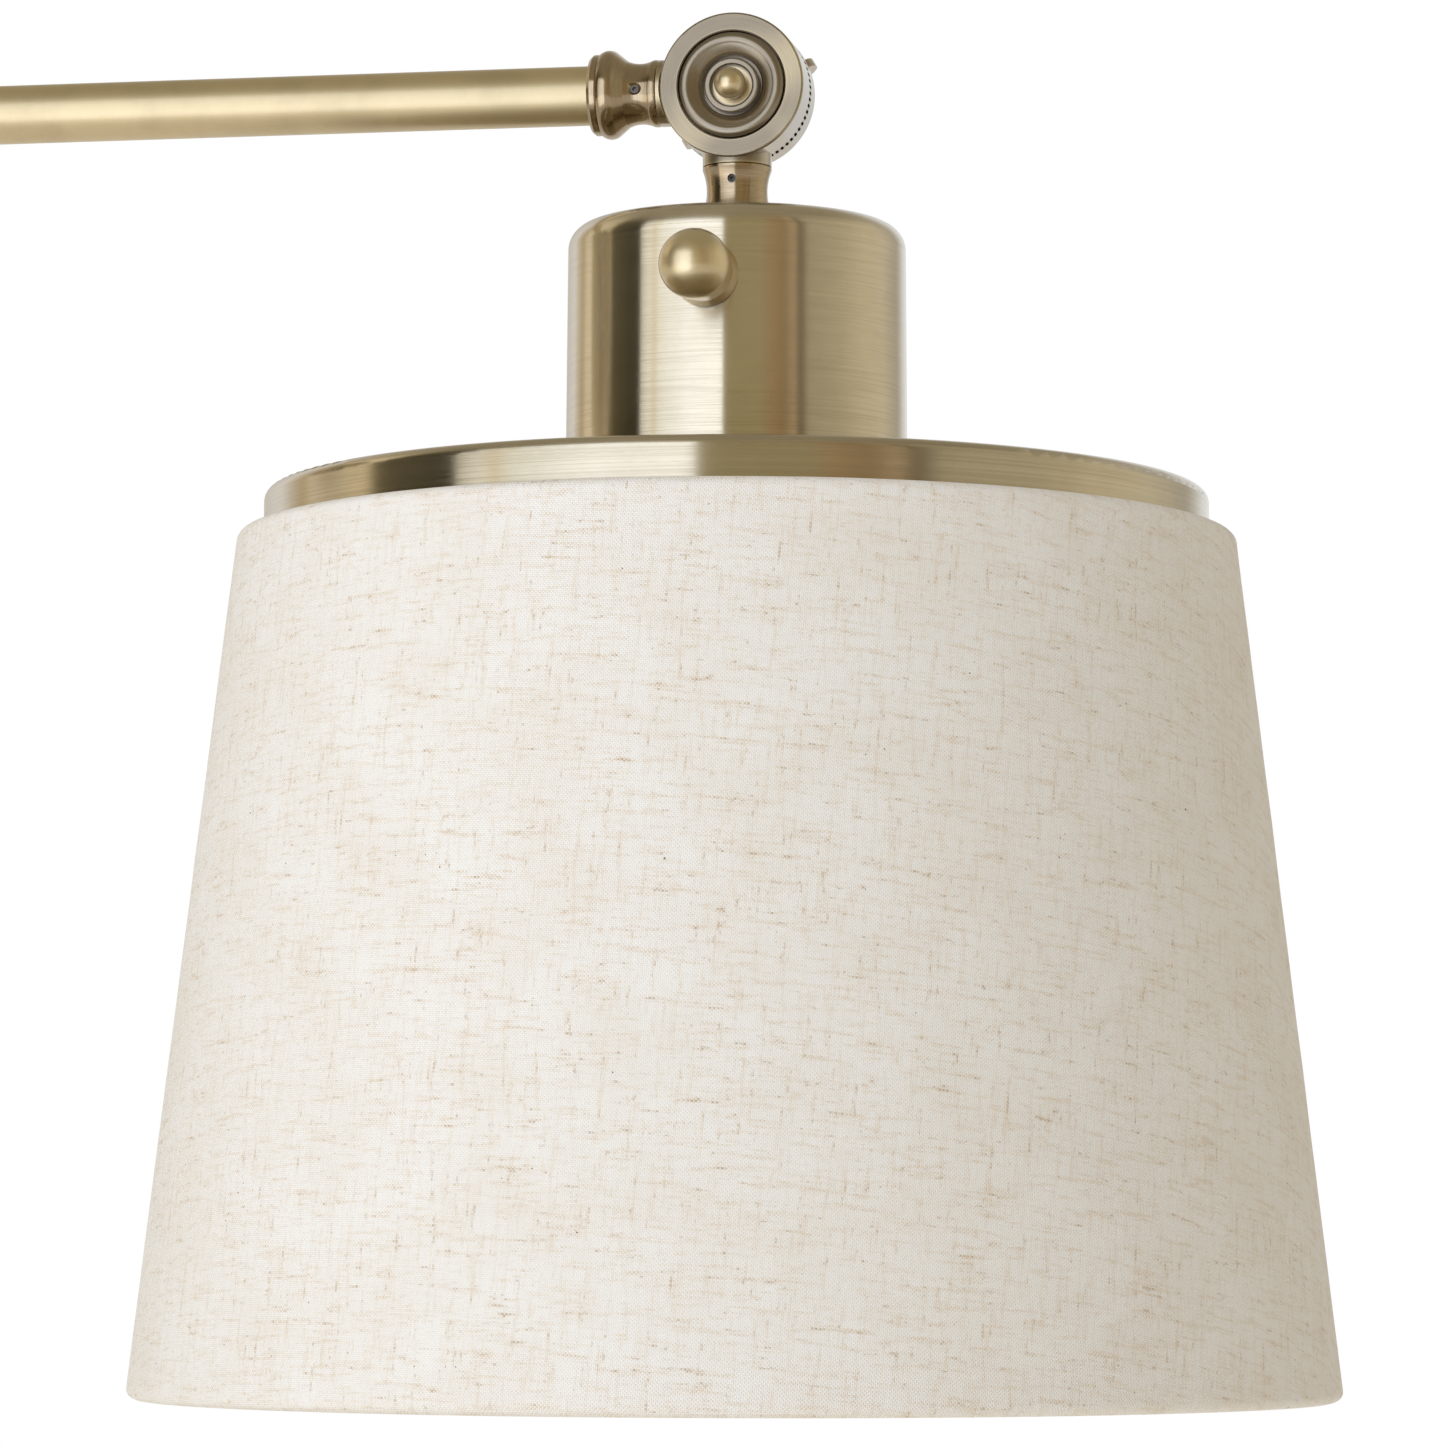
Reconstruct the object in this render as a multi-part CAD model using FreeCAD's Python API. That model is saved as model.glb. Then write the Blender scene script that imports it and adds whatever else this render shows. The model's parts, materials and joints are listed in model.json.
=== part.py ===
"""A swing arm wall sconce in antique brass with a linen drum shade.

One horizontal arm joins two clamp knuckles. The wall knuckle turns about a vertical pin, so the arm
swings. The lamp knuckle turns about a horizontal pin, so the head tilts. Both knuckles are two toothed
discs on one bolt, with a wing nut that locks them.

Frame: millimetres, +Z up, +X out of the wall along the arm at rest. The origin is the centre of the
wall plate's back face, at the height of the arm's centreline.
"""
import FreeCAD, Part
import math
import os

from FreeCAD import Rotation, Vector

# Driving dimensions: the main proportions.
ARM_RADIUS = 6.35  # half an inch across
ARM_WALL = 1.0
ARM_SPAN = 260.0  # from the wall knuckle's axis to the lamp knuckle's axis
PLATE_RADIUS = 60.0
PLATE_DEPTH = 22.0
PLATE_FACE_RADIUS = 42.0
SHEET = 1.0  # thickness of the spun brass parts

KNUCKLE_RADIUS = 15.5
KNUCKLE_FRONT = 7.8  # front face, from the arm's centreline, along the pin
KNUCKLE_BACK = -7.8
PARTING = -1.6  # middle of the toothed gap between the two halves
PARTING_GAP = 0.3
TOOTH_COUNT = 72
TOOTH_DEPTH = 1.0
TOOTH_INNER_RADIUS = 11.4

STUB_END = 16.5  # from the pin's axis, where a neck or a collar takes over
SPIGOT_RADIUS = 4.9
SPIGOT_END = 22.6
NECK_END = 29.3
NECK_END_RADIUS = 7.35
NECK_WAIST = 6.5
NECK_FOOT_RADIUS = 8.9
COLLAR_END = 31.3
COLLAR_END_RADIUS = 7.1
COLLAR_WAIST = 6.45
COLLAR_BEAD = 9.45
COLLAR_RING = 8.65
COLLAR_SOCKET = COLLAR_END - 6.3  # the tube's end stops against this step
NIPPLE_BORE = 3.75
WIRE_RADIUS = 0.7
WIRE_OFFSET = 1.1  # each lead of a pair, from the middle of the pair

CUP_RADIUS = 35.85
CUP_FLARE = 0.35
CUP_TOP = -NECK_END
CUP_CORNER = 5.3
CAP_RADIUS = 99.7
CAP_TOP = -86.8
CAP_HEIGHT = 11.2
CAP_CORNER = 2.4

SHADE_TOP = -95.75
SHADE_BOTTOM = -277.0
SHADE_TOP_RADIUS = 105.0
SHADE_BOTTOM_RADIUS = 127.0
CLOTH = 0.8
LINER = 0.5
SHADE_WIRE_RADIUS = 1.5

KNOB_HEIGHT = -45.1
KNOB_BALL_RADIUS = 7.3
KNOB_STANDOFF = 13.2  # ball centre, out from the cup's side

BOLT_RADIUS = 2.5
RUNNING = 0.05  # radial clearance of a shaft in its hole
LOOSE = 0.3  # gap between moving faces that do not bear on each other
SEAT = 0.05  # gap between two pieces that are fixed to each other

# Knuckles.
HUB_RADIUS = 4.4
CAVITY_RADIUS = 9.8
ROSETTE_RADIUS = 11.3
ROSETTE_SEAT = 4.0
ROSETTE_FLOOR = 1.1
FINIAL_DISH = 1.4  # depth of the hollow round the finial's ball
FINIAL_BALL_RADIUS = 3.35
RIM_ROUND = 0.5
FRONT_WIRE_HEIGHT = 0.0
BACK_WIRE_HEIGHT = -2.7
LEAD_START = 8.0  # the leads end in the cavity, this far from the pin's axis

# Nuts and screws of the knuckles, necks and collars.
SPRING_WASHER = 0.9
WING_TIP = 16.6
WING_TILT = 31.0
GRUB_RADIUS = 0.9
NECK_GRUB = 19.9
COLLAR_GRUB = 21.2

# Wall plate and crossbar.
PLATE_WALL = 1.2
STUD_SPACING = 60.0
STUD_RADIUS = 2.0
BOX_SCREW_SPACING = 88.9
BOX_SCREW_RADIUS = 2.4
BRACKET_WIDTH = 22.0
BRACKET_THICK = 1.8
BRACKET_LENGTH = 104.0
GROUND_RADIUS = 1.8

# Lamp socket and its strap.
SOCKET_RADIUS = 19.5
SOCKET_TOP = -59.0
SOCKET_BOTTOM = -99.5
SHOULDER_RADIUS = 24.0
SHELL_BORE = 13.4
SHELL_WALL = 0.5
SHELL_TOP = -72.0
STRAP_SCREW_X = 11.4
STRAP_SCREW_RADIUS = 1.5

# Turn switch.
SWITCH_DEPTH = 17.0
SWITCH_WIDTH = 16.0
SWITCH_HEIGHT = 13.0
SPINDLE_RADIUS = 1.8
BUSH_RADIUS = 3.4

# Wire frame of the shade.
SPIDER_THICK = 2.0
HUB_RING_RADIUS = 30.0
WELD_GAP = 0.02  # left between welded pieces, so that each stays a solid of its own

# Derived places.
FINIAL_RIM = KNUCKLE_FRONT - 0.4
WALL_PIN_X = PLATE_DEPTH + NECK_END
LAMP_X = WALL_PIN_X + ARM_SPAN
FRONT_HALF_BACK = PARTING + PARTING_GAP / 2
BACK_HALF_FRONT = PARTING - PARTING_GAP / 2
STRAP_TOP = CUP_TOP - SHEET - 5.4
SWITCH_FACE = -(CUP_RADIUS - SHEET - 1.4)
SLOPE = (SHADE_BOTTOM_RADIUS - SHADE_TOP_RADIUS) / (SHADE_TOP - SHADE_BOTTOM)
TOP_RING_HEIGHT = SHADE_TOP - CLOTH - SHADE_WIRE_RADIUS
BOTTOM_RING_HEIGHT = SHADE_BOTTOM + CLOTH + SHADE_WIRE_RADIUS
RING_INSET = CLOTH + LINER + SHADE_WIRE_RADIUS + 2 * SEAT

X, Y, Z = Vector(1, 0, 0), Vector(0, 1, 0), Vector(0, 0, 1)
ORIGIN = Vector(0, 0, 0)
WALL_PIN = Vector(WALL_PIN_X, 0, 0)
LAMP_PIN = Vector(LAMP_X, 0, 0)


# --- Helpers -------------------------------------------------------------------------------------


def save(name, *solids):
    """Writes one sub-part, made of one solid or of several separate ones."""
    shape = solids[0] if len(solids) == 1 else Part.makeCompound(list(solids))
    shape.exportStep(f"parts/{name}.step")


def outline(*items):
    """A wire in the XZ plane through (radius, height) points; a pair in a list is the middle of an arc."""
    edges = []
    start = None
    middle = None
    for item in items:
        if isinstance(item, list):
            middle = Vector(item[0], 0, item[1])
            continue
        point = Vector(item[0], 0, item[1])
        if start is not None:
            curve = Part.Arc(start, middle, point) if middle else Part.LineSegment(start, point)
            edges.append(curve.toShape())
        start = point
        middle = None
    return Part.Wire(edges)


def turned(*items):
    """A solid turned about the Z axis from a closed outline."""
    face = Part.Face(outline(*items, items[0]))
    return face.revolve(ORIGIN, Z, 360)


def dome(radius, height, apex):
    """The arc of a spherical dome, from a point at that radius and height to an apex on the Z axis."""
    rise = apex - height
    sphere = (radius ** 2 + rise ** 2) / (2 * rise)
    half = math.asin(radius / sphere) / 2
    return [sphere * math.sin(half), apex - sphere * (1 - math.cos(half))], (0, apex)


def spun(thickness, *items):
    """A sheet metal shell turned about Z; the outline runs along its outer face, from its rim to its top."""
    inside = []
    for item in items:
        radius, height = max(0, item[0] - thickness), item[1] - thickness
        inside.append([radius, height] if isinstance(item, list) else (radius, height))
    return turned(*items, (0, items[0][1])).cut(turned(*inside, (0, inside[0][1])))


def rod(radius, start, end):
    """A round bar between two points."""
    start, end = Vector(start), Vector(end)
    return Part.makeCylinder(radius, start.distanceToPoint(end), start, end - start)


def prism(across_flats, sides, start, end):
    """A bar with a regular polygon as its section, between two heights on the Z axis."""
    corner = across_flats / 2 / math.cos(math.pi / sides)
    turns = [2 * math.pi * i / sides for i in range(sides + 1)]
    ring = Part.makePolygon([Vector(corner * math.cos(t), corner * math.sin(t), start) for t in turns])
    return Part.Face(ring).extrude(Z * (end - start))


def block(low, high):
    low, high = Vector(low), Vector(high)
    return Part.makeBox(high.x - low.x, high.y - low.y, high.z - low.z, low)


def tube_along(points, radius, bend):
    """A round wire through the points, with an arc of the given radius at each corner."""
    points = [Vector(p) for p in points]
    edges = []
    start = points[0]
    for before, corner, after in zip(points, points[1:], points[2:]):
        into = (before - corner).normalize()
        out = (after - corner).normalize()
        half = into.getAngle(out) / 2
        reach = bend / math.tan(half)
        first, last = corner + into * reach, corner + out * reach
        to_centre = (into + out).normalize()
        middle = corner + to_centre * (bend / math.sin(half) - bend)
        edges.append(Part.LineSegment(start, first).toShape())
        edges.append(Part.Arc(first, middle, last).toShape())
        start = last
    edges.append(Part.LineSegment(start, points[-1]).toShape())
    path = Part.Wire(edges)
    section = Part.Wire(Part.makeCircle(radius, points[0], points[1] - points[0]))
    return path.makePipeShell([section], True, False)


def placed(shape, at, along, front):
    """Moves a shape so that its own +X points along the first direction and its +Z to the second."""
    copy = shape.copy()
    target = FreeCAD.Placement(Vector(at), Rotation(along, front.cross(along), front, "ZXY"))
    copy.Placement = target.multiply(copy.Placement)
    return copy


# --- Knuckles: own +Z is the pin, pointing to the finial; own +X is the stub ---------------------


def teeth_cutter(face_height):
    """Narrow radial slots, centred on the toothed face at the given height."""
    slot_width = math.pi * KNUCKLE_RADIUS / TOOTH_COUNT
    slot = block(
        (TOOTH_INNER_RADIUS, -slot_width / 2, face_height - TOOTH_DEPTH),
        (KNUCKLE_RADIUS + 0.1, slot_width / 2, face_height + TOOTH_DEPTH),
    )
    slots = []
    for i in range(TOOTH_COUNT):
        one = slot.copy()
        one.rotate(ORIGIN, Z, 360 * (i + 0.5) / TOOTH_COUNT)
        slots.append(one)
    return Part.makeCompound(slots)


def stub(end_radius, low, high):
    """The side boss of a knuckle half: it clears the other half's disc, outside this half's own heights."""
    boss = rod(end_radius, (KNUCKLE_RADIUS - 2, 0, 0), (STUB_END, 0, 0))
    clearance = Part.makeCylinder(KNUCKLE_RADIUS + LOOSE, 2 * end_radius, Vector(0, 0, -end_radius))
    own_slab = block((0, -end_radius, low), (STUB_END, end_radius, high))
    spigot = rod(SPIGOT_RADIUS, (STUB_END - 0.5, 0, 0), (SPIGOT_END, 0, 0))
    return boss.cut(clearance).fuse([boss.common(own_slab), spigot])


def wire_way(height):
    """The slot for a pair of leads, from the cavity out through the spigot."""
    half_wide, half_high = WIRE_OFFSET + WIRE_RADIUS + 0.2, WIRE_RADIUS + 0.1
    low = (CAVITY_RADIUS - 1, -half_wide, height - half_high)
    high = (SPIGOT_END + 1, half_wide, height + half_high)
    return block(low, high)


def knuckle_front(end_radius):
    """The half under the finial: a recess for the rosette, a cavity for the wires and a toothed back."""
    r, back, front = KNUCKLE_RADIUS, FRONT_HALF_BACK, KNUCKLE_FRONT
    bore = BOLT_RADIUS + RUNNING
    floor = back + 3.0
    disc = turned(
        (bore, back), (HUB_RADIUS, back), (HUB_RADIUS, floor), (CAVITY_RADIUS, floor),
        (CAVITY_RADIUS, back), (r, back), (r, front - RIM_ROUND),
        [r - RIM_ROUND * 0.29, front - RIM_ROUND * 0.29], (r - RIM_ROUND, front),
        (ROSETTE_RADIUS + 0.5, front), (ROSETTE_RADIUS + 0.25, front - 0.25),
        (ROSETTE_RADIUS + 0.25, ROSETTE_SEAT), (bore, ROSETTE_SEAT),
    )
    return disc.fuse(stub(end_radius, back, front)).cut([teeth_cutter(back), wire_way(FRONT_WIRE_HEIGHT)])


def knuckle_back(end_radius):
    """The half next to the wing nut, with the matching teeth."""
    r, back, front = KNUCKLE_RADIUS, KNUCKLE_BACK, BACK_HALF_FRONT
    bore = BOLT_RADIUS + 0.01
    floor = front - 3.6
    disc = turned(
        (bore, back), (r - RIM_ROUND, back), [r - RIM_ROUND * 0.29, back + RIM_ROUND * 0.29],
        (r, back + RIM_ROUND), (r, front), (CAVITY_RADIUS, front), (CAVITY_RADIUS, floor),
        (HUB_RADIUS, floor), (HUB_RADIUS, front), (bore, front),
    )
    return disc.fuse(stub(end_radius, back, front)).cut([teeth_cutter(front), wire_way(BACK_WIRE_HEIGHT)])


def rosette():
    """The dished ring in the front half's recess, with a raised round bead."""
    seat, face = ROSETTE_SEAT, KNUCKLE_FRONT
    return turned(
        (2.8, seat), (ROSETTE_RADIUS, seat), (ROSETTE_RADIUS, face - 0.3),
        [10.2, face + 0.6], (8.9, face + 0.35), [7.6, face - 0.25], (6.5, face - 1.1),
        (6.5, seat + ROSETTE_FLOOR), (2.8, seat + ROSETTE_FLOOR),
    )


def finial_nut():
    """A turned nut: a rimmed collar with a small ball on a short neck, tapped for the bolt."""
    low, rim = ROSETTE_SEAT + ROSETTE_FLOOR + LOOSE, FINIAL_RIM
    outer, inner, floor = 5.9, 4.45, FINIAL_RIM - FINIAL_DISH
    body = turned(
        (0, low), (outer, low), (outer, rim - 0.5), [outer - 0.15, rim - 0.15], (outer - 0.5, rim),
        (inner + 0.4, rim), [inner + 0.1, rim - 0.15], (inner, rim - 0.5), (inner, floor), (0, floor),
    )
    ball_height = KNUCKLE_FRONT + 1.4
    neck = rod(2.4, (0, 0, floor - 0.1), (0, 0, ball_height))
    tapping = rod(BOLT_RADIUS + 0.01, (0, 0, low - 1), (0, 0, floor + 0.9))
    ball = Part.makeSphere(FINIAL_BALL_RADIUS, Vector(0, 0, ball_height))
    return body.fuse([neck, ball]).removeSplitter().cut(tapping)


def knuckle_bolt():
    """The pin that both halves turn on, fixed in the back half."""
    top = FINIAL_RIM - FINIAL_DISH + 0.85
    bottom = KNUCKLE_BACK - 9.5
    bolt = rod(BOLT_RADIUS, (0, 0, bottom), (0, 0, top))
    return bolt.makeChamfer(0.4, bolt.Edges)


def spring_washer():
    """A split spring washer behind the back half."""
    top = KNUCKLE_BACK - SEAT
    ring = turned((2.7, top - SPRING_WASHER), (5.2, top - SPRING_WASHER), (5.2, top), (2.7, top))
    split = block((0, -0.4, top - 2), (6, 0.4, top + 1))
    return ring.cut(split)


def wing_nut():
    """The locking nut: a conical hub with two round wings."""
    top = KNUCKLE_BACK - SEAT - SPRING_WASHER - 0.15
    hub_length = 6.0
    lobe_radius, lobe_thick = 4.2, 1.9
    hub = turned((0, top), (5.4, top), (5.4, top - 1.2), (4.1, top - hub_length), (0, top - hub_length))
    wings = []
    for side in (1, -1):
        centre = Vector(side * (WING_TIP - lobe_radius), lobe_thick / 2, top - 5.6)
        lobe = Part.makeCylinder(lobe_radius, lobe_thick, centre, -Y)
        arm = Part.makePolygon([
            Vector(side * 2.9, lobe_thick / 2, top - 0.6),
            Vector(side * 5.2, lobe_thick / 2, top - 0.6),
            Vector(side * 12.1, lobe_thick / 2, top - 1.5),
            Vector(side * 11.7, lobe_thick / 2, top - 8.8),
            Vector(side * 3.2, lobe_thick / 2, top - 5.6),
            Vector(side * 2.9, lobe_thick / 2, top - 0.6),
        ])
        wings += [lobe, Part.Face(arm).extrude(Y * -lobe_thick)]
    bore = rod(BOLT_RADIUS + RUNNING, (0, 0, top + 1), (0, 0, top - hub_length - 1))
    nut = hub.fuse(wings).removeSplitter().cut(bore)
    nut.rotate(ORIGIN, Z, WING_TILT)
    return nut


# --- Necks and collars: own +X runs away from the pin, own +Z is the front -----------------------


def along_x(shape):
    """Lays a piece turned about Z along +X, so that its heights become distances from the pin."""
    return placed(shape, ORIGIN, -Z, X)


def grub_hole(distance):
    """The tapped hole for a headless screw, left plain."""
    return rod(GRUB_RADIUS + 0.02, (distance, 0, 0), (distance, 0, 2 * NECK_END_RADIUS))


def countersink(distance, surface):
    """The wide mouth of a collar's screw hole."""
    return Part.makeCone(GRUB_RADIUS, GRUB_RADIUS + 0.75, 0.75, Vector(distance, 0, surface - 0.55))


def grub_screw(distance, surface):
    """A headless screw that bears on the spigot, with a hexagon socket in its outer end."""
    screw = Part.makeCylinder(GRUB_RADIUS, surface - 0.45 - SPIGOT_RADIUS, Vector(0, 0, SPIGOT_RADIUS))
    socket = prism(0.95, 6, surface - 1.2, surface)
    screw = screw.cut(socket)
    screw.translate(X * distance)
    return screw


def neck():
    """A turned neck, waisted in the middle, on the knuckle's spigot and a threaded nipple."""
    bore = SPIGOT_RADIUS + SEAT
    body = turned(
        (bore, STUB_END + SEAT), (NECK_END_RADIUS - 0.2, STUB_END + SEAT),
        (NECK_END_RADIUS, STUB_END + 0.25), (NECK_END_RADIUS, STUB_END + 0.7),
        [NECK_WAIST, STUB_END + 4.3], (NECK_WAIST + 0.5, NECK_END - 3.9), [NECK_WAIST + 1.2, NECK_END - 1.9],
        (NECK_FOOT_RADIUS, NECK_END - 0.4), (NECK_FOOT_RADIUS, NECK_END), (bore, NECK_END),
    )
    return along_x(body).cut(grub_hole(NECK_GRUB))


def collar():
    """The end fitting of the arm: a bead beside the tube's socket, then a waist down to the knuckle."""
    spigot_bore, tube_bore = SPIGOT_RADIUS + SEAT, ARM_RADIUS + SEAT
    waist, bead, ring, end = COLLAR_WAIST, COLLAR_BEAD, COLLAR_RING, COLLAR_END
    body = turned(
        (spigot_bore, STUB_END + SEAT), (COLLAR_END_RADIUS - 0.25, STUB_END + SEAT),
        (COLLAR_END_RADIUS, STUB_END + 0.3), [COLLAR_END_RADIUS + 0.05, STUB_END + 1.1],
        (COLLAR_END_RADIUS - 0.2, STUB_END + 1.9), [waist, STUB_END + 4.3], (waist + 0.65, end - 7.7),
        (bead - 0.75, end - 5.75), [bead, end - 4.2], (bead - 0.55, end - 2.15), (ring - 0.15, end - 1.95),
        (ring, end - 1.7), (ring, end - 0.7), (ring - 0.6, end),
        (tube_bore, end), (tube_bore, COLLAR_SOCKET), (spigot_bore, COLLAR_SOCKET),
    )
    return along_x(body).cut([grub_hole(COLLAR_GRUB), countersink(COLLAR_GRUB, COLLAR_WAIST)])


def nipple(start, end):
    """A hollow threaded tube that clamps a neck to sheet metal; the thread is left plain."""
    body = turned(
        (NIPPLE_BORE, start), (SPIGOT_RADIUS, start), (SPIGOT_RADIUS, end - 0.5),
        (SPIGOT_RADIUS - 0.5, end), (NIPPLE_BORE, end),
    )
    return along_x(body)


def hex_nut(across, bore, start, end):
    nut = prism(across, 6, start, end).common(
        turned((0, start), (across * 0.56, start), (across * 0.56, end - 0.5), (across * 0.5, end), (0, end))
    )
    return along_x(nut.cut(rod(bore, (0, 0, start - 1), (0, 0, end + 1))))


def star_washer(start, end):
    """An internal ring with outer teeth that bite the sheet metal."""
    ring = turned((SPIGOT_RADIUS + 0.1, start), (7.2, start), (7.2, end), (SPIGOT_RADIUS + 0.1, end))
    teeth = []
    for i in range(12):
        tooth = block((6.9, -0.7, start), (8.6, 0.7, end))
        tooth.rotate(ORIGIN, Z, 30 * i)
        teeth.append(tooth)
    return along_x(ring.fuse(teeth).removeSplitter())


# --- Placing the two knuckles --------------------------------------------------------------------


def on_wall_pin(shape, along=X):
    """The wall knuckle: its pin is vertical, with the finial on top."""
    return placed(shape, WALL_PIN, along, Z)


def on_lamp_pin(shape, along=X):
    """The lamp knuckle: its pin is horizontal, with the finial facing -Y."""
    return placed(shape, LAMP_PIN, along, -Y)


def make_knuckles():
    save("swing_knuckle_lower", on_wall_pin(knuckle_back(NECK_END_RADIUS), -X))
    save("swing_knuckle_upper", on_wall_pin(knuckle_front(COLLAR_END_RADIUS), X))
    save("tilt_knuckle_rear", on_lamp_pin(knuckle_back(COLLAR_END_RADIUS), -X))
    save("tilt_knuckle_front", on_lamp_pin(knuckle_front(NECK_END_RADIUS), -Z))
    for name, place in (("swing", on_wall_pin), ("tilt", on_lamp_pin)):
        save(f"{name}_rosette", place(rosette()))
        save(f"{name}_finial_nut", place(finial_nut()))
        save(f"{name}_bolt", place(knuckle_bolt()))
        save(f"{name}_spring_washer", place(spring_washer()))
        save(f"{name}_wing_nut", place(wing_nut()))


def make_necks():
    save("wall_neck", on_wall_pin(neck(), -X))
    save("wall_neck_grub_screw", on_wall_pin(grub_screw(NECK_GRUB, NECK_WAIST - 0.15), -X))
    save("lamp_neck", on_lamp_pin(neck(), -Z))
    save("lamp_neck_grub_screw", on_lamp_pin(grub_screw(NECK_GRUB, NECK_WAIST - 0.15), -Z))


def make_arm():
    wall_side, lamp_side = WALL_PIN_X + COLLAR_SOCKET + 0.1, LAMP_X - COLLAR_SOCKET - 0.1
    outer = rod(ARM_RADIUS, (wall_side, 0, 0), (lamp_side, 0, 0))
    inner = rod(ARM_RADIUS - ARM_WALL, (wall_side - 1, 0, 0), (lamp_side + 1, 0, 0))
    save("arm_tube", outer.cut(inner))
    save("arm_collar_wall", on_wall_pin(collar(), X))
    save("arm_collar_lamp", on_lamp_pin(collar(), -X))
    screw = grub_screw(COLLAR_GRUB, COLLAR_WAIST - 0.15)
    save("collar_grub_screws", on_wall_pin(screw, X), on_lamp_pin(screw, -X))


# --- Wall side -----------------------------------------------------------------------------------


def facing_room(shape):
    """Turns a piece made about Z so that its axis leaves the wall along +X."""
    return placed(shape, ORIGIN, -Z, X)


def wall_plate():
    """A stepped round plate: a rounded rim, a cove, a domed shoulder and a flat face."""
    face, r = PLATE_DEPTH, PLATE_RADIUS
    shell = spun(
        PLATE_WALL,
        (r, 0), (r, 3.6), [r - 0.6, 5.0], (r - 2.0, 5.6), (r - 4.0, 5.6),
        [r - 5.2, 6.1], (r - 5.7, 7.3), [52.0, 15.6], (PLATE_FACE_RADIUS, face - 1.0),
        (PLATE_FACE_RADIUS - 3, face), (0, face),
    )
    holes = [rod(SPIGOT_RADIUS + SEAT, (0, 0, face - 5), (0, 0, face + 5))]
    for side in (1, -1):
        at = side * STUD_SPACING / 2
        holes.append(rod(STUD_RADIUS + 0.2, (at, 0, face - 5), (at, 0, face + 5)))
    return facing_room(shell.cut(holes))


def wall_bracket():
    """The flat steel crossbar on the outlet box, with holes for the box screws and the plate studs."""
    half_long, half_wide = BRACKET_LENGTH / 2, BRACKET_WIDTH / 2
    bar = block((0, -half_wide, -half_long), (BRACKET_THICK, half_wide, half_long))
    holes = []
    for side in (1, -1):
        for spacing, radius in ((BOX_SCREW_SPACING, BOX_SCREW_RADIUS), (STUD_SPACING, STUD_RADIUS + 0.02)):
            holes.append(rod(radius, (-1, 0, side * spacing / 2), (5, 0, side * spacing / 2)))
    holes.append(rod(7.5, (-1, 0, 0), (5, 0, 0)))
    holes.append(rod(GROUND_RADIUS + 0.02, (-1, 6.5, 18), (5, 6.5, 18)))
    corners = [e for e in bar.Edges if abs(e.Length - BRACKET_THICK) < 0.01]
    return bar.makeFillet(5.0, corners).cut(holes)


def ground_screw():
    """The green earth screw on the crossbar."""
    head = turned((0, 2.9), (3.6, 2.9), (3.6, 4.2), *dome(3.6, 4.2, 5.6))
    shank = rod(GROUND_RADIUS, (0, 0, 0.3), (0, 0, 3.0))
    slot = block((-4, -0.4, 4.7), (4, 0.4, 6))
    screw = facing_room(head.fuse(shank).removeSplitter().cut(slot))
    screw.translate(Vector(0, 6.5, 18))
    return screw


def ground_terminal():
    """The ring terminal under the earth screw and its short lead."""
    bore = GROUND_RADIUS + 0.1
    ring = facing_room(turned((bore, 2.05), (3.8, 2.05), (3.8, 2.85), (bore, 2.85)))
    ring.translate(Vector(0, 6.5, 18))
    barrel = rod(1.4, (3.5, 10.5, 18), (3.5, 15.5, 18))
    tongue = block((2.1, 9.2, 16.9), (2.8, 12.5, 19.1))
    return ring.fuse([tongue, barrel]).removeSplitter()


def plate_stud():
    return rod(STUD_RADIUS, (0.3, 0, 0), (PLATE_DEPTH + 5.0, 0, 0))


def plate_cap_nut():
    """A small domed nut with a flange, tapped blind, on a stud."""
    face = PLATE_DEPTH + SEAT
    nut = turned((0, face), (6.2, face), (6.2, face + 0.8), (5.0, face + 1.4), (5.0, face + 3.6),
                 *dome(5.0, face + 3.6, face + 7.6))
    return facing_room(nut.cut(rod(STUD_RADIUS + 0.02, (0, 0, face - 1), (0, 0, face + 5.3))))


def on_studs(shape):
    pair = []
    for side in (1, -1):
        copy = shape.copy()
        copy.translate(Z * side * STUD_SPACING / 2)
        pair.append(copy)
    return pair


def wire_nut(at):
    """A ribbed screw-on wire connector, lying with its mouth towards the centre."""
    shell = turned((2.3, 0), (4.6, 0), (4.2, 9), (3.0, 15), *dome(3.0, 15, 17), (0, 9), (2.3, 9))
    ribs = []
    for i in range(8):
        rib = block((3.7, -0.35, 1.0), (4.75, 0.35, 8.5))
        rib.rotate(ORIGIN, Z, 45 * i)
        ribs.append(rib)
    return placed(shell.fuse(ribs).removeSplitter(), at, -X, Y)


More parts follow.
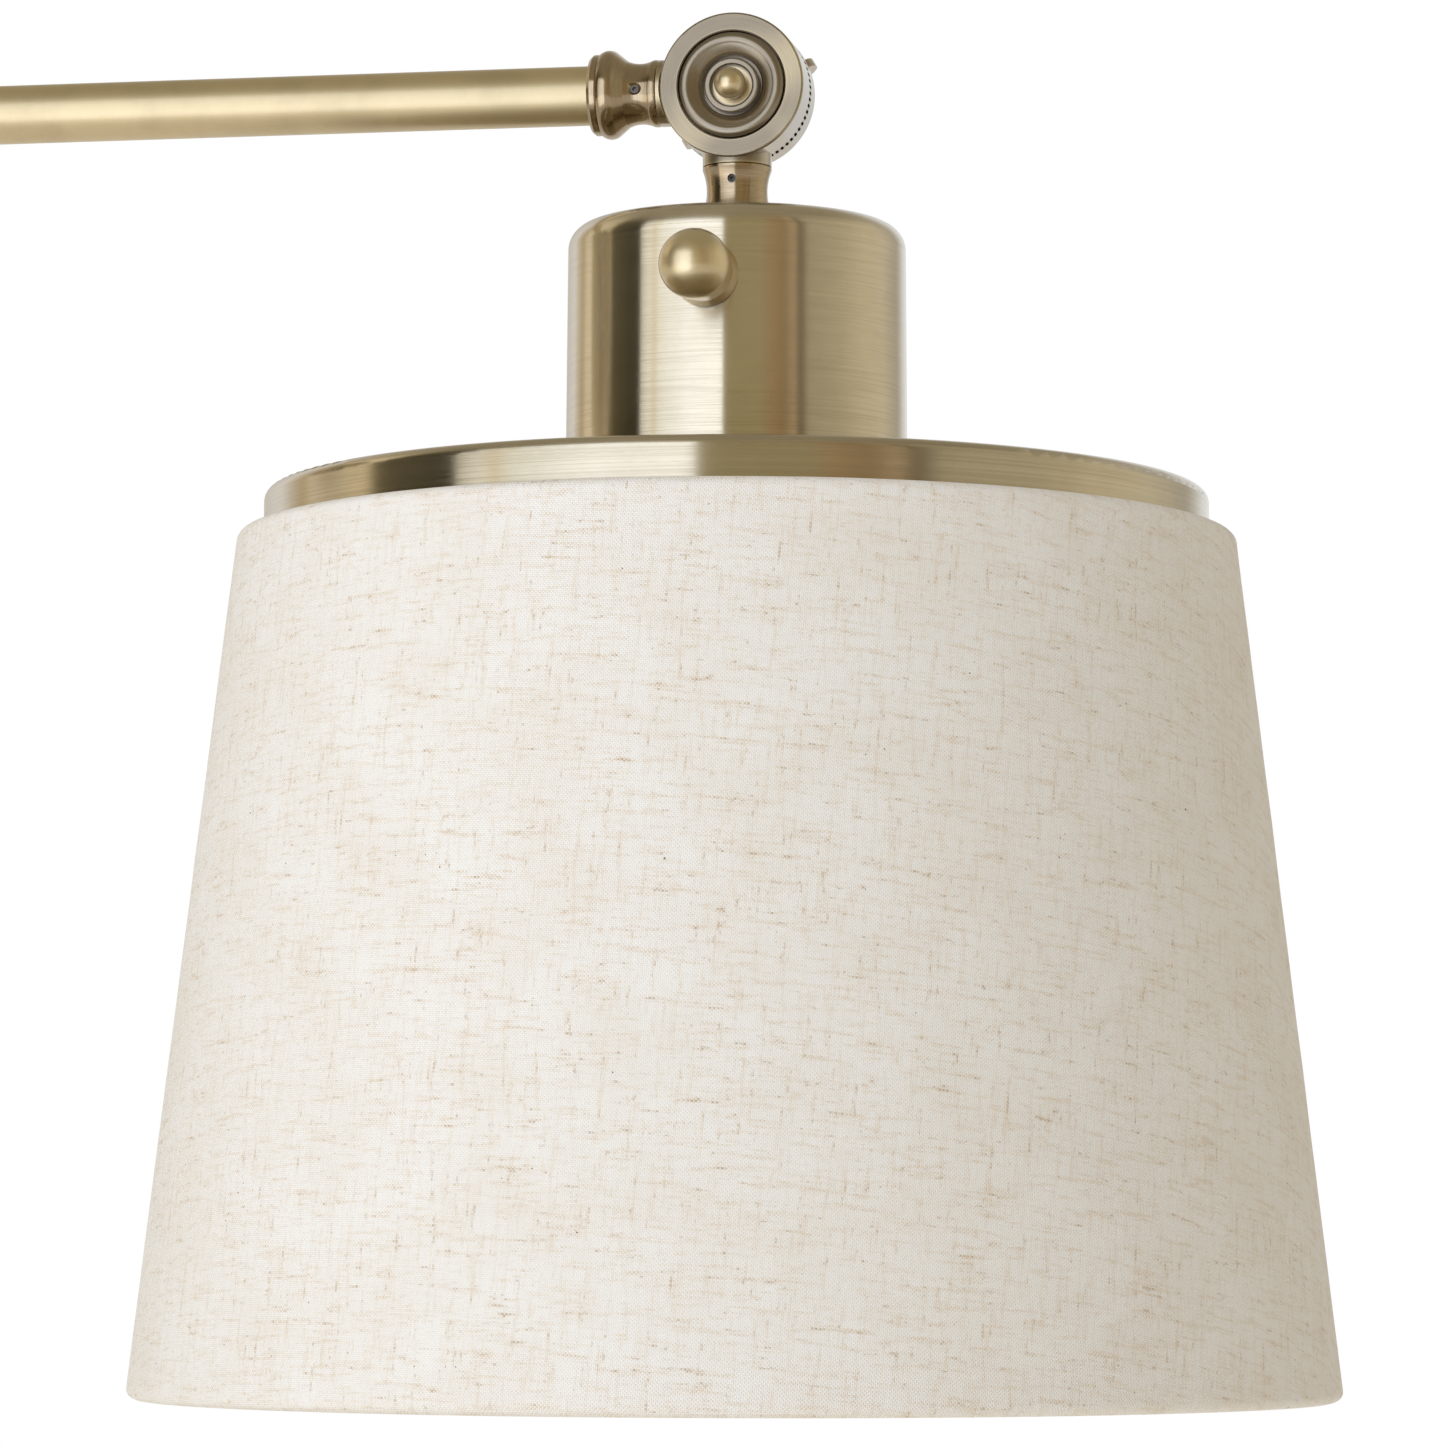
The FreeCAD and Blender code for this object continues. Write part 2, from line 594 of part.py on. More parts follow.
def make_wall_side():
    save("wall_plate", wall_plate())
    save("wall_bracket", wall_bracket())
    save("ground_screw", ground_screw())
    save("ground_terminal", ground_terminal())
    save("plate_studs", *on_studs(plate_stud()))
    save("plate_cap_nuts", *on_studs(plate_cap_nut()))
    inside_plate = NECK_END + PLATE_WALL + SEAT
    save("wall_nipple", on_wall_pin(nipple(SPIGOT_END + 0.3, inside_plate + 5.5), -X))
    save("wall_star_washer", on_wall_pin(star_washer(inside_plate, inside_plate + 0.8), -X))
    save("wall_nipple_nut", on_wall_pin(hex_nut(14.0, SPIGOT_RADIUS + 0.02, inside_plate + 0.85,
                                                inside_plate + 4.3), -X))
    nut_x = 9.5
    mouths = [Vector(nut_x, 26, side * 8) for side in (1, -1)]
    save("wire_nuts", *[wire_nut(at) for at in mouths])
    leads = []
    for side, mouth in zip((1, -1), mouths):
        leads.append(tube_along(
            [
                (WALL_PIN_X - LEAD_START, side * WIRE_OFFSET, BACK_WIRE_HEIGHT),
                (nut_x, side * WIRE_OFFSET, BACK_WIRE_HEIGHT),
                (nut_x, 12 + side, BACK_WIRE_HEIGHT),
                (nut_x, 18, mouth.z),
                (nut_x, mouth.y + 6, mouth.z),
            ],
            WIRE_RADIUS, 3.0,
        ))
    save("wall_leads", *leads)


# --- Lamp head: heights from the arm's centreline, about the lamp's vertical axis ----------------


def on_lamp_axis(shape):
    shape = shape.copy()
    shape.translate(LAMP_PIN)
    return shape


def socket_cup():
    """The spun cup over the socket, with a hole for the switch's bush."""
    top, bottom, r = CUP_TOP, CAP_TOP + SEAT, CUP_RADIUS
    bend = CUP_CORNER * (1 - math.sqrt(0.5))
    shell = spun(
        SHEET,
        (r + CUP_FLARE, bottom), (r, top - CUP_CORNER), [r - bend, top - bend],
        (r - CUP_CORNER, top), (0, top),
    )
    nipple_hole = rod(SPIGOT_RADIUS + SEAT, (0, 0, top - 5), (0, 0, top + 5))
    switch_hole = rod(BUSH_RADIUS + SEAT, (0, -r - 5, KNOB_HEIGHT), (0, -r + 5, KNOB_HEIGHT))
    return shell.cut([nipple_hole, switch_hole])


def shade_cap():
    """The flat top of the shallow lid on the shade, clamped round the socket."""
    edge, bore = CAP_RADIUS - CAP_CORNER, SOCKET_RADIUS + 0.3
    return turned((bore, CAP_TOP), (edge, CAP_TOP), (edge, CAP_TOP - SHEET), (bore, CAP_TOP - SHEET))


def shade_cap_rim():
    """The lid's rounded corner and side, in one with its top."""
    top, r, corner = CAP_TOP, CAP_RADIUS, CAP_CORNER
    bend, inner_bend = corner * (1 - math.sqrt(0.5)), SHEET + (corner - SHEET) * (1 - math.sqrt(0.5))
    return turned(
        (r, top - CAP_HEIGHT), (r, top - corner), [r - bend, top - bend], (r - corner, top),
        (r - corner, top - SHEET), [r - inner_bend, top - inner_bend], (r - SHEET, top - corner),
        (r - SHEET, top - CAP_HEIGHT),
    )


def socket_strap():
    """The steel strap between the nipple and the socket's top."""
    half_wide, out, t = 6.0, 16.0, 1.5
    top = STRAP_TOP
    plate = block((-out, -half_wide, top - t), (out, half_wide, top))
    legs = []
    for side in (1, -1):
        x = side * (out - t / 2)
        legs.append(block((x - t / 2, -half_wide, SOCKET_TOP + SEAT), (x + t / 2, half_wide, top)))
        foot = sorted((side * (out - t), side * 9.0))
        low = (foot[0], -half_wide, SOCKET_TOP + SEAT)
        high = (foot[1], half_wide, SOCKET_TOP + SEAT + t)
        legs.append(block(low, high))
    holes = [rod(SPIGOT_RADIUS + SEAT, (0, 0, top - 5), (0, 0, top + 5))]
    for side in (1, -1):
        x = side * STRAP_SCREW_X
        holes.append(rod(STRAP_SCREW_RADIUS + 0.1, (x, 0, SOCKET_TOP - 5), (x, 0, SOCKET_TOP + 5)))
    return plate.fuse(legs).removeSplitter().cut(holes)


def strap_screw():
    base = SOCKET_TOP + SEAT + 1.5 + 0.02
    head = turned((0, base), (2.6, base), (2.6, base + 0.7), *dome(2.6, base + 0.7, base + 1.9))
    shank = rod(STRAP_SCREW_RADIUS, (0, 0, SOCKET_TOP - 4.5), (0, 0, base + 0.1))
    return head.fuse(shank).removeSplitter().cut(block((-3, -0.35, base + 1.2), (3, 0.35, base + 3)))


def socket_body():
    """The moulded body of the medium screw socket, with a shoulder that rests on the shade's lid."""
    r, inner = SOCKET_RADIUS, SHELL_BORE + SHELL_WALL + 0.1
    shoulder = CAP_TOP + SEAT
    body = turned(
        (0, SOCKET_TOP), (r - 1.5, SOCKET_TOP), [r - 0.45, SOCKET_TOP - 0.45], (r, SOCKET_TOP - 1.5),
        (r, shoulder + 3.4), (SHOULDER_RADIUS, shoulder + 2.6), (SHOULDER_RADIUS, shoulder), (r, shoulder),
        (r, SOCKET_BOTTOM + 0.6), (r - 0.6, SOCKET_BOTTOM), (16.6, SOCKET_BOTTOM),
        (16.6, SOCKET_BOTTOM + 1.5),
        (inner, SOCKET_BOTTOM + 2.5), (inner, SHELL_TOP + 0.2), (9.0, SHELL_TOP + 0.2),
        (9.0, SHELL_TOP + 4.0), (0, SHELL_TOP + 4.0),
    )
    tapped = []
    for side in (1, -1):
        x = side * STRAP_SCREW_X
        tapped.append(rod(STRAP_SCREW_RADIUS + 0.02, (x, 0, SOCKET_TOP + 1), (x, 0, SOCKET_TOP - 4.6)))
    return body.cut(tapped)


def screw_shell():
    """The brass screw shell; its rolled thread is left plain at the thread's major radius."""
    top, bottom = SHELL_TOP + 0.1, SOCKET_BOTTOM + 3.2
    return turned(
        (SHELL_BORE, bottom), (SHELL_BORE + SHELL_WALL, bottom), (SHELL_BORE + SHELL_WALL, top),
        (9.5, top), (9.5, top - SHELL_WALL), (SHELL_BORE, top - SHELL_WALL),
    )


def centre_contact():
    """The springy brass tongue that meets the bulb's tip."""
    rivet = rod(2.0, (0, 0, SHELL_TOP + 3.95), (0, 0, SHELL_TOP + 2.6))
    half = 2.2
    profile = Part.makePolygon([
        Vector(-5.5, 0, SHELL_TOP + 3.0), Vector(2.5, 0, SHELL_TOP + 3.0), Vector(6.5, 0, SHELL_TOP + 0.5),
        Vector(5.9, 0, SHELL_TOP - 0.2), Vector(2.2, 0, SHELL_TOP + 2.3), Vector(-5.5, 0, SHELL_TOP + 2.3),
        Vector(-5.5, 0, SHELL_TOP + 3.0),
    ])
    tongue = Part.Face(profile).extrude(Y * 2 * half)
    tongue.translate(Y * -half)
    return tongue.fuse(rivet).removeSplitter()


def shade_ring():
    """The ring nut that clamps the shade's carrier and lid up against the socket's shoulder."""
    top = CAP_TOP - SHEET - SEAT - SPIDER_THICK - SEAT
    r = SOCKET_RADIUS + 0.1
    ring = turned(
        (r, top), (27.0, top), (27.0, top - 1.6), (23.0, top - 2.0), (23.0, top - 6.5), (r, top - 6.5),
    )
    notches = []
    for i in range(12):
        notch = block((22.2, -1.3, top - 7), (24, 1.3, top - 2.6))
        notch.rotate(ORIGIN, Z, 30 * i)
        notches.append(notch)
    return ring.cut(notches)


# --- Shade ---------------------------------------------------------------------------------------


def cone_radius(height, inset):
    """The shade's radius at a height, measured level, a given distance inside the cloth's face."""
    return SHADE_TOP_RADIUS + (SHADE_TOP - height) * SLOPE - inset * math.hypot(1, SLOPE)


def ring_radius(height):
    return cone_radius(height, RING_INSET)


def wire_ring(height):
    """One of the shade's two round wire rings, inside the liner."""
    return Part.makeTorus(ring_radius(height), SHADE_WIRE_RADIUS, Vector(0, 0, height))


def shade_hub():
    """The flat ring that sits on the socket's thread; the three spokes are welded to its edge."""
    top, bore = CAP_TOP - SHEET - SEAT, SOCKET_RADIUS + 0.3
    bottom = top - SPIDER_THICK
    return turned((bore, top), (HUB_RING_RADIUS, top), (HUB_RING_RADIUS, bottom), (bore, bottom))


def shade_spokes():
    """Three cranked wire spokes from the hub, down past the lid's side, to the shade's top ring."""
    radius = ring_radius(TOP_RING_HEIGHT)
    low = CAP_TOP - CAP_HEIGHT - SHADE_WIRE_RADIUS - 1.3
    high = CAP_TOP - SHEET - SEAT - SHADE_WIRE_RADIUS - 0.1
    ring = Part.makeTorus(radius, SHADE_WIRE_RADIUS + WELD_GAP, Vector(0, 0, TOP_RING_HEIGHT))
    spoke = tube_along(
        [(HUB_RING_RADIUS + WELD_GAP, 0, high), (79, 0, high), (92, 0, low), (radius - 0.4, 0, low + 1.2)],
        SHADE_WIRE_RADIUS, 6.0,
    ).cut(ring)
    spokes = []
    for turn in (90, 210, 330):
        copy = spoke.copy()
        copy.rotate(ORIGIN, Z, turn)
        spokes.append(copy)
    return spokes


def shade_liner():
    """The stiff translucent sheet that the cloth is glued to."""
    top, bottom = SHADE_TOP - CLOTH - 0.1, SHADE_BOTTOM + CLOTH + 0.1
    outer, inner = CLOTH + SEAT, CLOTH + SEAT + LINER
    return turned(
        (cone_radius(bottom, outer), bottom), (cone_radius(top, outer), top),
        (cone_radius(top, inner), top), (cone_radius(bottom, inner), bottom),
    )


def shade_fabric():
    """The cloth outside the liner, rolled over the wire rings at both edges."""
    top, bottom, t = SHADE_TOP, SHADE_BOTTOM, CLOTH
    roll = 1.6
    lip = CLOTH + LINER + 1.0
    return turned(
        (cone_radius(bottom, lip), bottom), (cone_radius(bottom, roll), bottom),
        [cone_radius(bottom + 0.4, 0.45), bottom + 0.45], (cone_radius(bottom + roll, 0), bottom + roll),
        (cone_radius(top - roll, 0), top - roll), [cone_radius(top - 0.4, 0.45), top - 0.45],
        (cone_radius(top, roll), top), (cone_radius(top, lip), top),
        (cone_radius(top - t, lip), top - t), (cone_radius(top - t, t), top - t),
        (cone_radius(bottom + t, t), bottom + t), (cone_radius(bottom + t, lip), bottom + t),
    )


# --- Switch --------------------------------------------------------------------------------------


def rotary_switch():
    """The turn switch inside the cup: a moulded case with a threaded bush through the cup's side."""
    low = (-SWITCH_WIDTH / 2, SWITCH_FACE, KNOB_HEIGHT - SWITCH_HEIGHT / 2)
    high = (SWITCH_WIDTH / 2, SWITCH_FACE + SWITCH_DEPTH, KNOB_HEIGHT + SWITCH_HEIGHT / 2)
    case = block(low, high)
    case = case.makeFillet(1.2, case.Edges)
    bush = rod(BUSH_RADIUS, (0, SWITCH_FACE + 1, KNOB_HEIGHT), (0, -CUP_RADIUS - 3.6, KNOB_HEIGHT))
    back, front = (0, SWITCH_FACE + 8.1, KNOB_HEIGHT), (0, -CUP_RADIUS - 5, KNOB_HEIGHT)
    well = rod(SPINDLE_RADIUS + RUNNING, back, front)
    return case.fuse(bush).removeSplitter().cut(well)


def bush_nut():
    """The thin round nut on the switch's bush, outside the cup and inside the knob's skirt."""
    near, far = -CUP_RADIUS - 0.25, -CUP_RADIUS - 2.2
    nut = rod(4.6, (0, near, KNOB_HEIGHT), (0, far, KNOB_HEIGHT))
    return nut.cut(rod(BUSH_RADIUS + 0.02, (0, near + 1, KNOB_HEIGHT), (0, far - 1, KNOB_HEIGHT)))


def switch_knob():
    """The ball knob with its hollow skirt and its spindle; own axis along Z, then laid to -Y."""
    skirt_start = CUP_RADIUS + LOOSE + 0.3
    ball_centre = CUP_RADIUS + KNOB_STANDOFF
    body = turned(
        (0, skirt_start), (6.8, skirt_start), (6.95, skirt_start + 0.3), (6.3, skirt_start + 3.2),
        (6.2, ball_centre), (0, ball_centre),
    ).fuse(Part.makeSphere(KNOB_BALL_RADIUS, Vector(0, 0, ball_centre)))
    hollow = rod(5.0, (0, 0, skirt_start - 1), (0, 0, CUP_RADIUS + 4.2))
    spindle = rod(SPINDLE_RADIUS, (0, 0, -SWITCH_FACE - 8.0), (0, 0, CUP_RADIUS + 6))
    knob = body.removeSplitter().cut(hollow).fuse(spindle)
    knob = placed(knob, ORIGIN, X, -Y)
    knob.translate(Z * KNOB_HEIGHT)
    return knob


def head_leads():
    """The lead from the tilt knuckle to the switch, the one to the socket, and the link between."""
    switch_back = SWITCH_FACE + SWITCH_DEPTH + 0.02
    side = WIRE_OFFSET
    to_switch = tube_along(
        [(-side, 0, -LEAD_START), (-side, 0, -43.0), (-side, switch_back, -43.0)], WIRE_RADIUS, 3.0,
    )
    to_socket = tube_along(
        [(side, 0, -LEAD_START), (side, 0, -44.0), (side, 12, -50.0), (side, 12, SOCKET_TOP + 0.02)],
        WIRE_RADIUS, 3.0,
    )
    link = tube_along(
        [(0, switch_back, -46.5), (0, -10, -46.5), (0, -10, SOCKET_TOP + 0.02)], WIRE_RADIUS, 2.5,
    )
    return to_switch, to_socket, link


def make_head():
    save("socket_cup", on_lamp_axis(socket_cup()))
    save("shade_cap", on_lamp_axis(shade_cap()))
    save("shade_cap_rim", on_lamp_axis(shade_cap_rim()))
    save("shade_top_ring", on_lamp_axis(wire_ring(TOP_RING_HEIGHT)))
    save("shade_bottom_ring", on_lamp_axis(wire_ring(BOTTOM_RING_HEIGHT)))
    save("shade_spokes", *[on_lamp_axis(spoke) for spoke in shade_spokes()])
    inside_cup = NECK_END + SHEET + SEAT
    save("lamp_nipple", on_lamp_pin(nipple(SPIGOT_END + 0.3, -STRAP_TOP + 6.0), -Z))
    save("lamp_star_washer", on_lamp_pin(star_washer(inside_cup, inside_cup + 0.8), -Z))
    save("lamp_nipple_nut", on_lamp_pin(hex_nut(14.0, SPIGOT_RADIUS + 0.02, inside_cup + 0.85,
                                                inside_cup + 4.3), -Z))
    strap_nut = hex_nut(14.0, SPIGOT_RADIUS + 0.02, -STRAP_TOP + 1.55, -STRAP_TOP + 4.8)
    save("strap_nut", on_lamp_pin(strap_nut, -Z))
    save("socket_strap", on_lamp_axis(socket_strap()))
    screws = []
    for side in (1, -1):
        screw = strap_screw()
        screw.translate(X * side * STRAP_SCREW_X)
        screws.append(on_lamp_axis(screw))
    save("strap_screws", *screws)
    for name, make in (
        ("socket_body", socket_body), ("screw_shell", screw_shell), ("centre_contact", centre_contact),
        ("shade_ring", shade_ring), ("shade_hub", shade_hub),
        ("shade_liner", shade_liner), ("shade_fabric", shade_fabric), ("rotary_switch", rotary_switch),
        ("bush_nut", bush_nut), ("switch_knob", switch_knob),
    ):
        save(name, on_lamp_axis(make()))
    save("head_leads", *[on_lamp_axis(lead) for lead in head_leads()])


def make_arm_leads():
    """The two leads along the arm, between the wire cavities of the knuckles, with a quarter twist."""
    leads = []
    for side in (1, -1):
        start = Vector(WALL_PIN_X + LEAD_START, side * WIRE_OFFSET, FRONT_WIRE_HEIGHT)
        end = Vector(LAMP_X - LEAD_START, -BACK_WIRE_HEIGHT, side * WIRE_OFFSET)
        leads.append(tube_along([start, start + X * 20, end - X * 20, end], WIRE_RADIUS, 30.0))
    save("arm_leads", *leads)


os.makedirs("parts", exist_ok=True)
make_wall_side()
make_knuckles()
make_necks()
make_arm()
make_arm_leads()
make_head()
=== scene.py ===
"""Looks for the swing arm wall sconce: a linen drum shade on brushed antique brass.

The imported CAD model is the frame. Its metal, plastic and wire parts keep their shapes and get procedural
materials here. The plain CAD solid of the cloth is replaced by a wrapped, seamed linen cover.
Units are metres. X runs from the wall to the lamp, Z is up and the camera stands on the -Y side.
"""

import json
import math

import bmesh
import bpy
from mathutils import Matrix, Vector, noise


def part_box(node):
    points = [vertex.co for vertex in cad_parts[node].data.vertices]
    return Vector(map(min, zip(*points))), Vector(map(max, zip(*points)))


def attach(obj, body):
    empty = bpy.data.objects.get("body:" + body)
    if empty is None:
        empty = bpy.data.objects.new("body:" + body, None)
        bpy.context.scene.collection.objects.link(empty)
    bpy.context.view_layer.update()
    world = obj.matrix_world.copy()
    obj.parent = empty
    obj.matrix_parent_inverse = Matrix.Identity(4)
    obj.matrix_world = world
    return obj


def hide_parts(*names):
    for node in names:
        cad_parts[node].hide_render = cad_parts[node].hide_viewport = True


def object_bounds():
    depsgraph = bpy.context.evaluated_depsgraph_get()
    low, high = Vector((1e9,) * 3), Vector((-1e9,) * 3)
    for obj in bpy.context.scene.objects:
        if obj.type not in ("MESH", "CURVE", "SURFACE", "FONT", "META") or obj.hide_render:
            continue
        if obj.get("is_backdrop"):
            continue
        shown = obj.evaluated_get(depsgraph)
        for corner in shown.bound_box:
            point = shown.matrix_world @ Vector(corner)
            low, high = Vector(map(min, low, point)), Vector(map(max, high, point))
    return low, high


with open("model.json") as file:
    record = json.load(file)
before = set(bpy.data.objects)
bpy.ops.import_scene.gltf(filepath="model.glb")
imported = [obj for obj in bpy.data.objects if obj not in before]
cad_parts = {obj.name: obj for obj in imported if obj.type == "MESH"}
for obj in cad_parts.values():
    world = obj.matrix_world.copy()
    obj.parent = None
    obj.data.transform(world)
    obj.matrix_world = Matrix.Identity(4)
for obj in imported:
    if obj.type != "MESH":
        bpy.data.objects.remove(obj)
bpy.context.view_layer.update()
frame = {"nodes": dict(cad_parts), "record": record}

# Camera: a long lens, level with the lower part of the shade and looking slightly up.
CAMERA_AZIMUTH = math.radians(10.3)
CAMERA_DISTANCE = 1.2405  # from the lamp's vertical axis
CAMERA_ABOVE_HEM = 0.0352
CAMERA_PITCH = math.radians(4.921)
CAMERA_ASIDE = 0.0023  # the lamp's axis stands this share of its distance right of the view's middle
CAMERA_ROLL = math.radians(0.15)
LENS_MM = 146.97

# Light and surroundings.
FLOOR_DROP = 2.0  # the floor lies this far under the arm, as below a lamp on a wall
FLOOR_RADIUS = 12.0
FLOOR_GLOW = 0.3
SOFTBOX_AZIMUTH = math.radians(-28.1)
SOFTBOX_DISTANCE = 1.0
SOFTBOX_SIZE = (1.115, 1.3)
SOFTBOX_RAISE = -0.02
SOFTBOX_POWER = 6.9
SOFTBOX_COLOUR = (0.84, 0.90, 1.0)
SOFTBOX_SHEET = (  # shares of its width from the camera's left, and the brightness of its sheet there
    (0.0, (0.78, 0.72, 0.64)),
    (0.14, (0.96, 0.94, 0.88)),
    (0.20, (0.82, 0.70, 0.52)),
    (0.26, (0.98, 0.98, 0.95)),
    (0.60, (1.15, 1.19, 1.32)),
    (1.0, (1.08, 1.14, 1.28)),
)
OVERHEAD = (0.40, 0.355, 0.26)
FILL = (0.54, 0.505, 0.45)  # what matt surfaces receive from all round
SURROUNDINGS = (  # degrees round the lamp from -Y towards +X, and the studio's colour there
    (-180, (0.80, 0.80, 0.78)),
    (-168, (0.55, 0.53, 0.48)),
    (-152, (0.62, 0.58, 0.51)),
    (-134, (0.88, 0.86, 0.83)),
    (-119, (0.60, 0.48, 0.29)),
    (-113, (0.96, 0.85, 0.67)),
    (-90, (0.98, 0.85, 0.60)),
    (-86, (0.13, 0.11, 0.065)),
    (-58, (0.03, 0.026, 0.015)),
    (-2, (0.44, 0.38, 0.22)),
    (26, (0.46, 0.40, 0.24)),
    (35, (0.47, 0.32, 0.18)),
    (43, (0.38, 0.28, 0.155)),
    (49, (0.60, 0.46, 0.31)),
    (54, (0.19, 0.155, 0.105)),
    (60, (0.55, 0.50, 0.37)),
    (85, (0.64, 0.59, 0.45)),
    (105, (0.79, 0.72, 0.55)),
    (127, (0.79, 0.73, 0.58)),
    (150, (0.51, 0.47, 0.39)),
    (165, (0.80, 0.80, 0.78)),
    (180, (0.80, 0.80, 0.78)),
)

# Brass: tints of the brushed, the cast and the satin parts, and of the dark in their hollows. The lid's rim
# tint is the brushed tint darkened as painted shade.
SPUN = (0.585, 0.515, 0.385, 1.0)
SPUN_DARK = (0.32, 0.26, 0.16, 1.0)
# painted shade: the brushed tint made darker for the lid's rim, which reflects a darker surround than the
# cup
RIM_PAINTED_SHADE = (0.54, 0.475, 0.35, 1.0)
CAST = (0.27, 0.225, 0.162, 1.0)
TURNED = (0.43, 0.335, 0.215, 1.0)
CAST_DARK = (0.085, 0.06, 0.035, 1.0)
POLISHED = (0.46, 0.42, 0.36, 1.0)
GOLDEN = (0.66, 0.545, 0.335, 1.0)
GOLDEN_DARK = (0.24, 0.175, 0.09, 1.0)
BALL = 0.0039  # radius of the finial nut's golden middle
BALL_EDGE = 0.0004  # the width over which the golden colour ends
ALL_BALL = 1.0  # a radius larger than the whole part, for a part that is golden all over
FACES_OUT = 0.9985  # over this cosine with the radius, a facet of a turned part is its straight wall
FACES_ALONG = 0.9995  # over this cosine with the axis, it is a flat end
HOLLOW_REACH = 0.003  # how near a neighbouring face makes a hollow dark
EDGE_REACH = 0.0011  # how near the part's other side makes an edge bright

# Linen: its two whites, the tan of its streaks and slubs, the painted shade in the gaps between threads,
# and the flecks.
FLAX = (0.885, 0.85, 0.78, 1.0)
BLEACHED = (0.92, 0.90, 0.85, 1.0)
STREAK_TAN = (0.74, 0.58, 0.39, 1.0)
SLUB_TAN = (0.52, 0.36, 0.20, 1.0)
GAP_PAINTED_SHADE = (0.56, 0.49, 0.39, 1.0)
FLECK_BROWN = (0.16, 0.10, 0.06, 1.0)
THREAD = 0.0004

# Cloth of the shade.
CLOTH = 0.0007
WIRE_RADIUS = 0.0015
WIRE_GAP = 0.00005  # between a wire and the cloth wrapped round it
LINER_INSET = 0.0014  # from the cloth's outer face to the liner's inner face
TURN_IN = 0.007
TURN_CLEAR = 0.0012  # from the cloth's bend round a wire to its straight turn-in
SIDE_REACH = 0.0006  # the straight side runs this far past the middle of each wire
SEAM_WIDTH = 0.009
SEAM_STEP = 0.0004
SEAM_DEPTH = 0.0005  # the seam's step grows from none at the cloth's middle to all this far outside it
SEAM_FOLD = 0.0003  # the width over which the fold rises
SEAM_EASE = 0.0012  # the width over which the seam's other side falls away
RIPPLE = 0.0001
RIPPLES_ROUND = 6.0  # for each radian round the shade
RIPPLES_DOWN = 60.0  # for each metre of its height
GRAIN_AZIMUTH = math.radians(-26.5)  # where the weft lies level; the seam is opposite
AROUND = 720
SIDE_STEPS = 40
AT_TOP = 0.002  # points this near the top give the shade's upper radius

# Places taken from the CAD model.
fabric_low, fabric_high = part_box("shade_fabric")
LAMP_AXIS = Vector(((fabric_low.x + fabric_high.x) / 2, 0.0, 0.0))
TOP_RADIUS = max(
    math.hypot(v.co.x - LAMP_AXIS.x, v.co.y)
    for v in frame["nodes"]["shade_fabric"].data.vertices
    if v.co.z > fabric_high.z - AT_TOP
)
SLOPE = ((fabric_high.x - fabric_low.x) / 2 - TOP_RADIUS) / (fabric_high.z - fabric_low.z)
LEVEL = math.hypot(1.0, SLOPE)  # a level width across the sloping cloth, for each unit of its thickness
APEX_HEIGHT = fabric_high.z + TOP_RADIUS / SLOPE
WALL_PIN = sum(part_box("swing_bolt"), Vector()) / 2
KNOB = sum(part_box("switch_knob"), Vector()) / 2


# --- Node trees --------------------------------------------------------------------------------


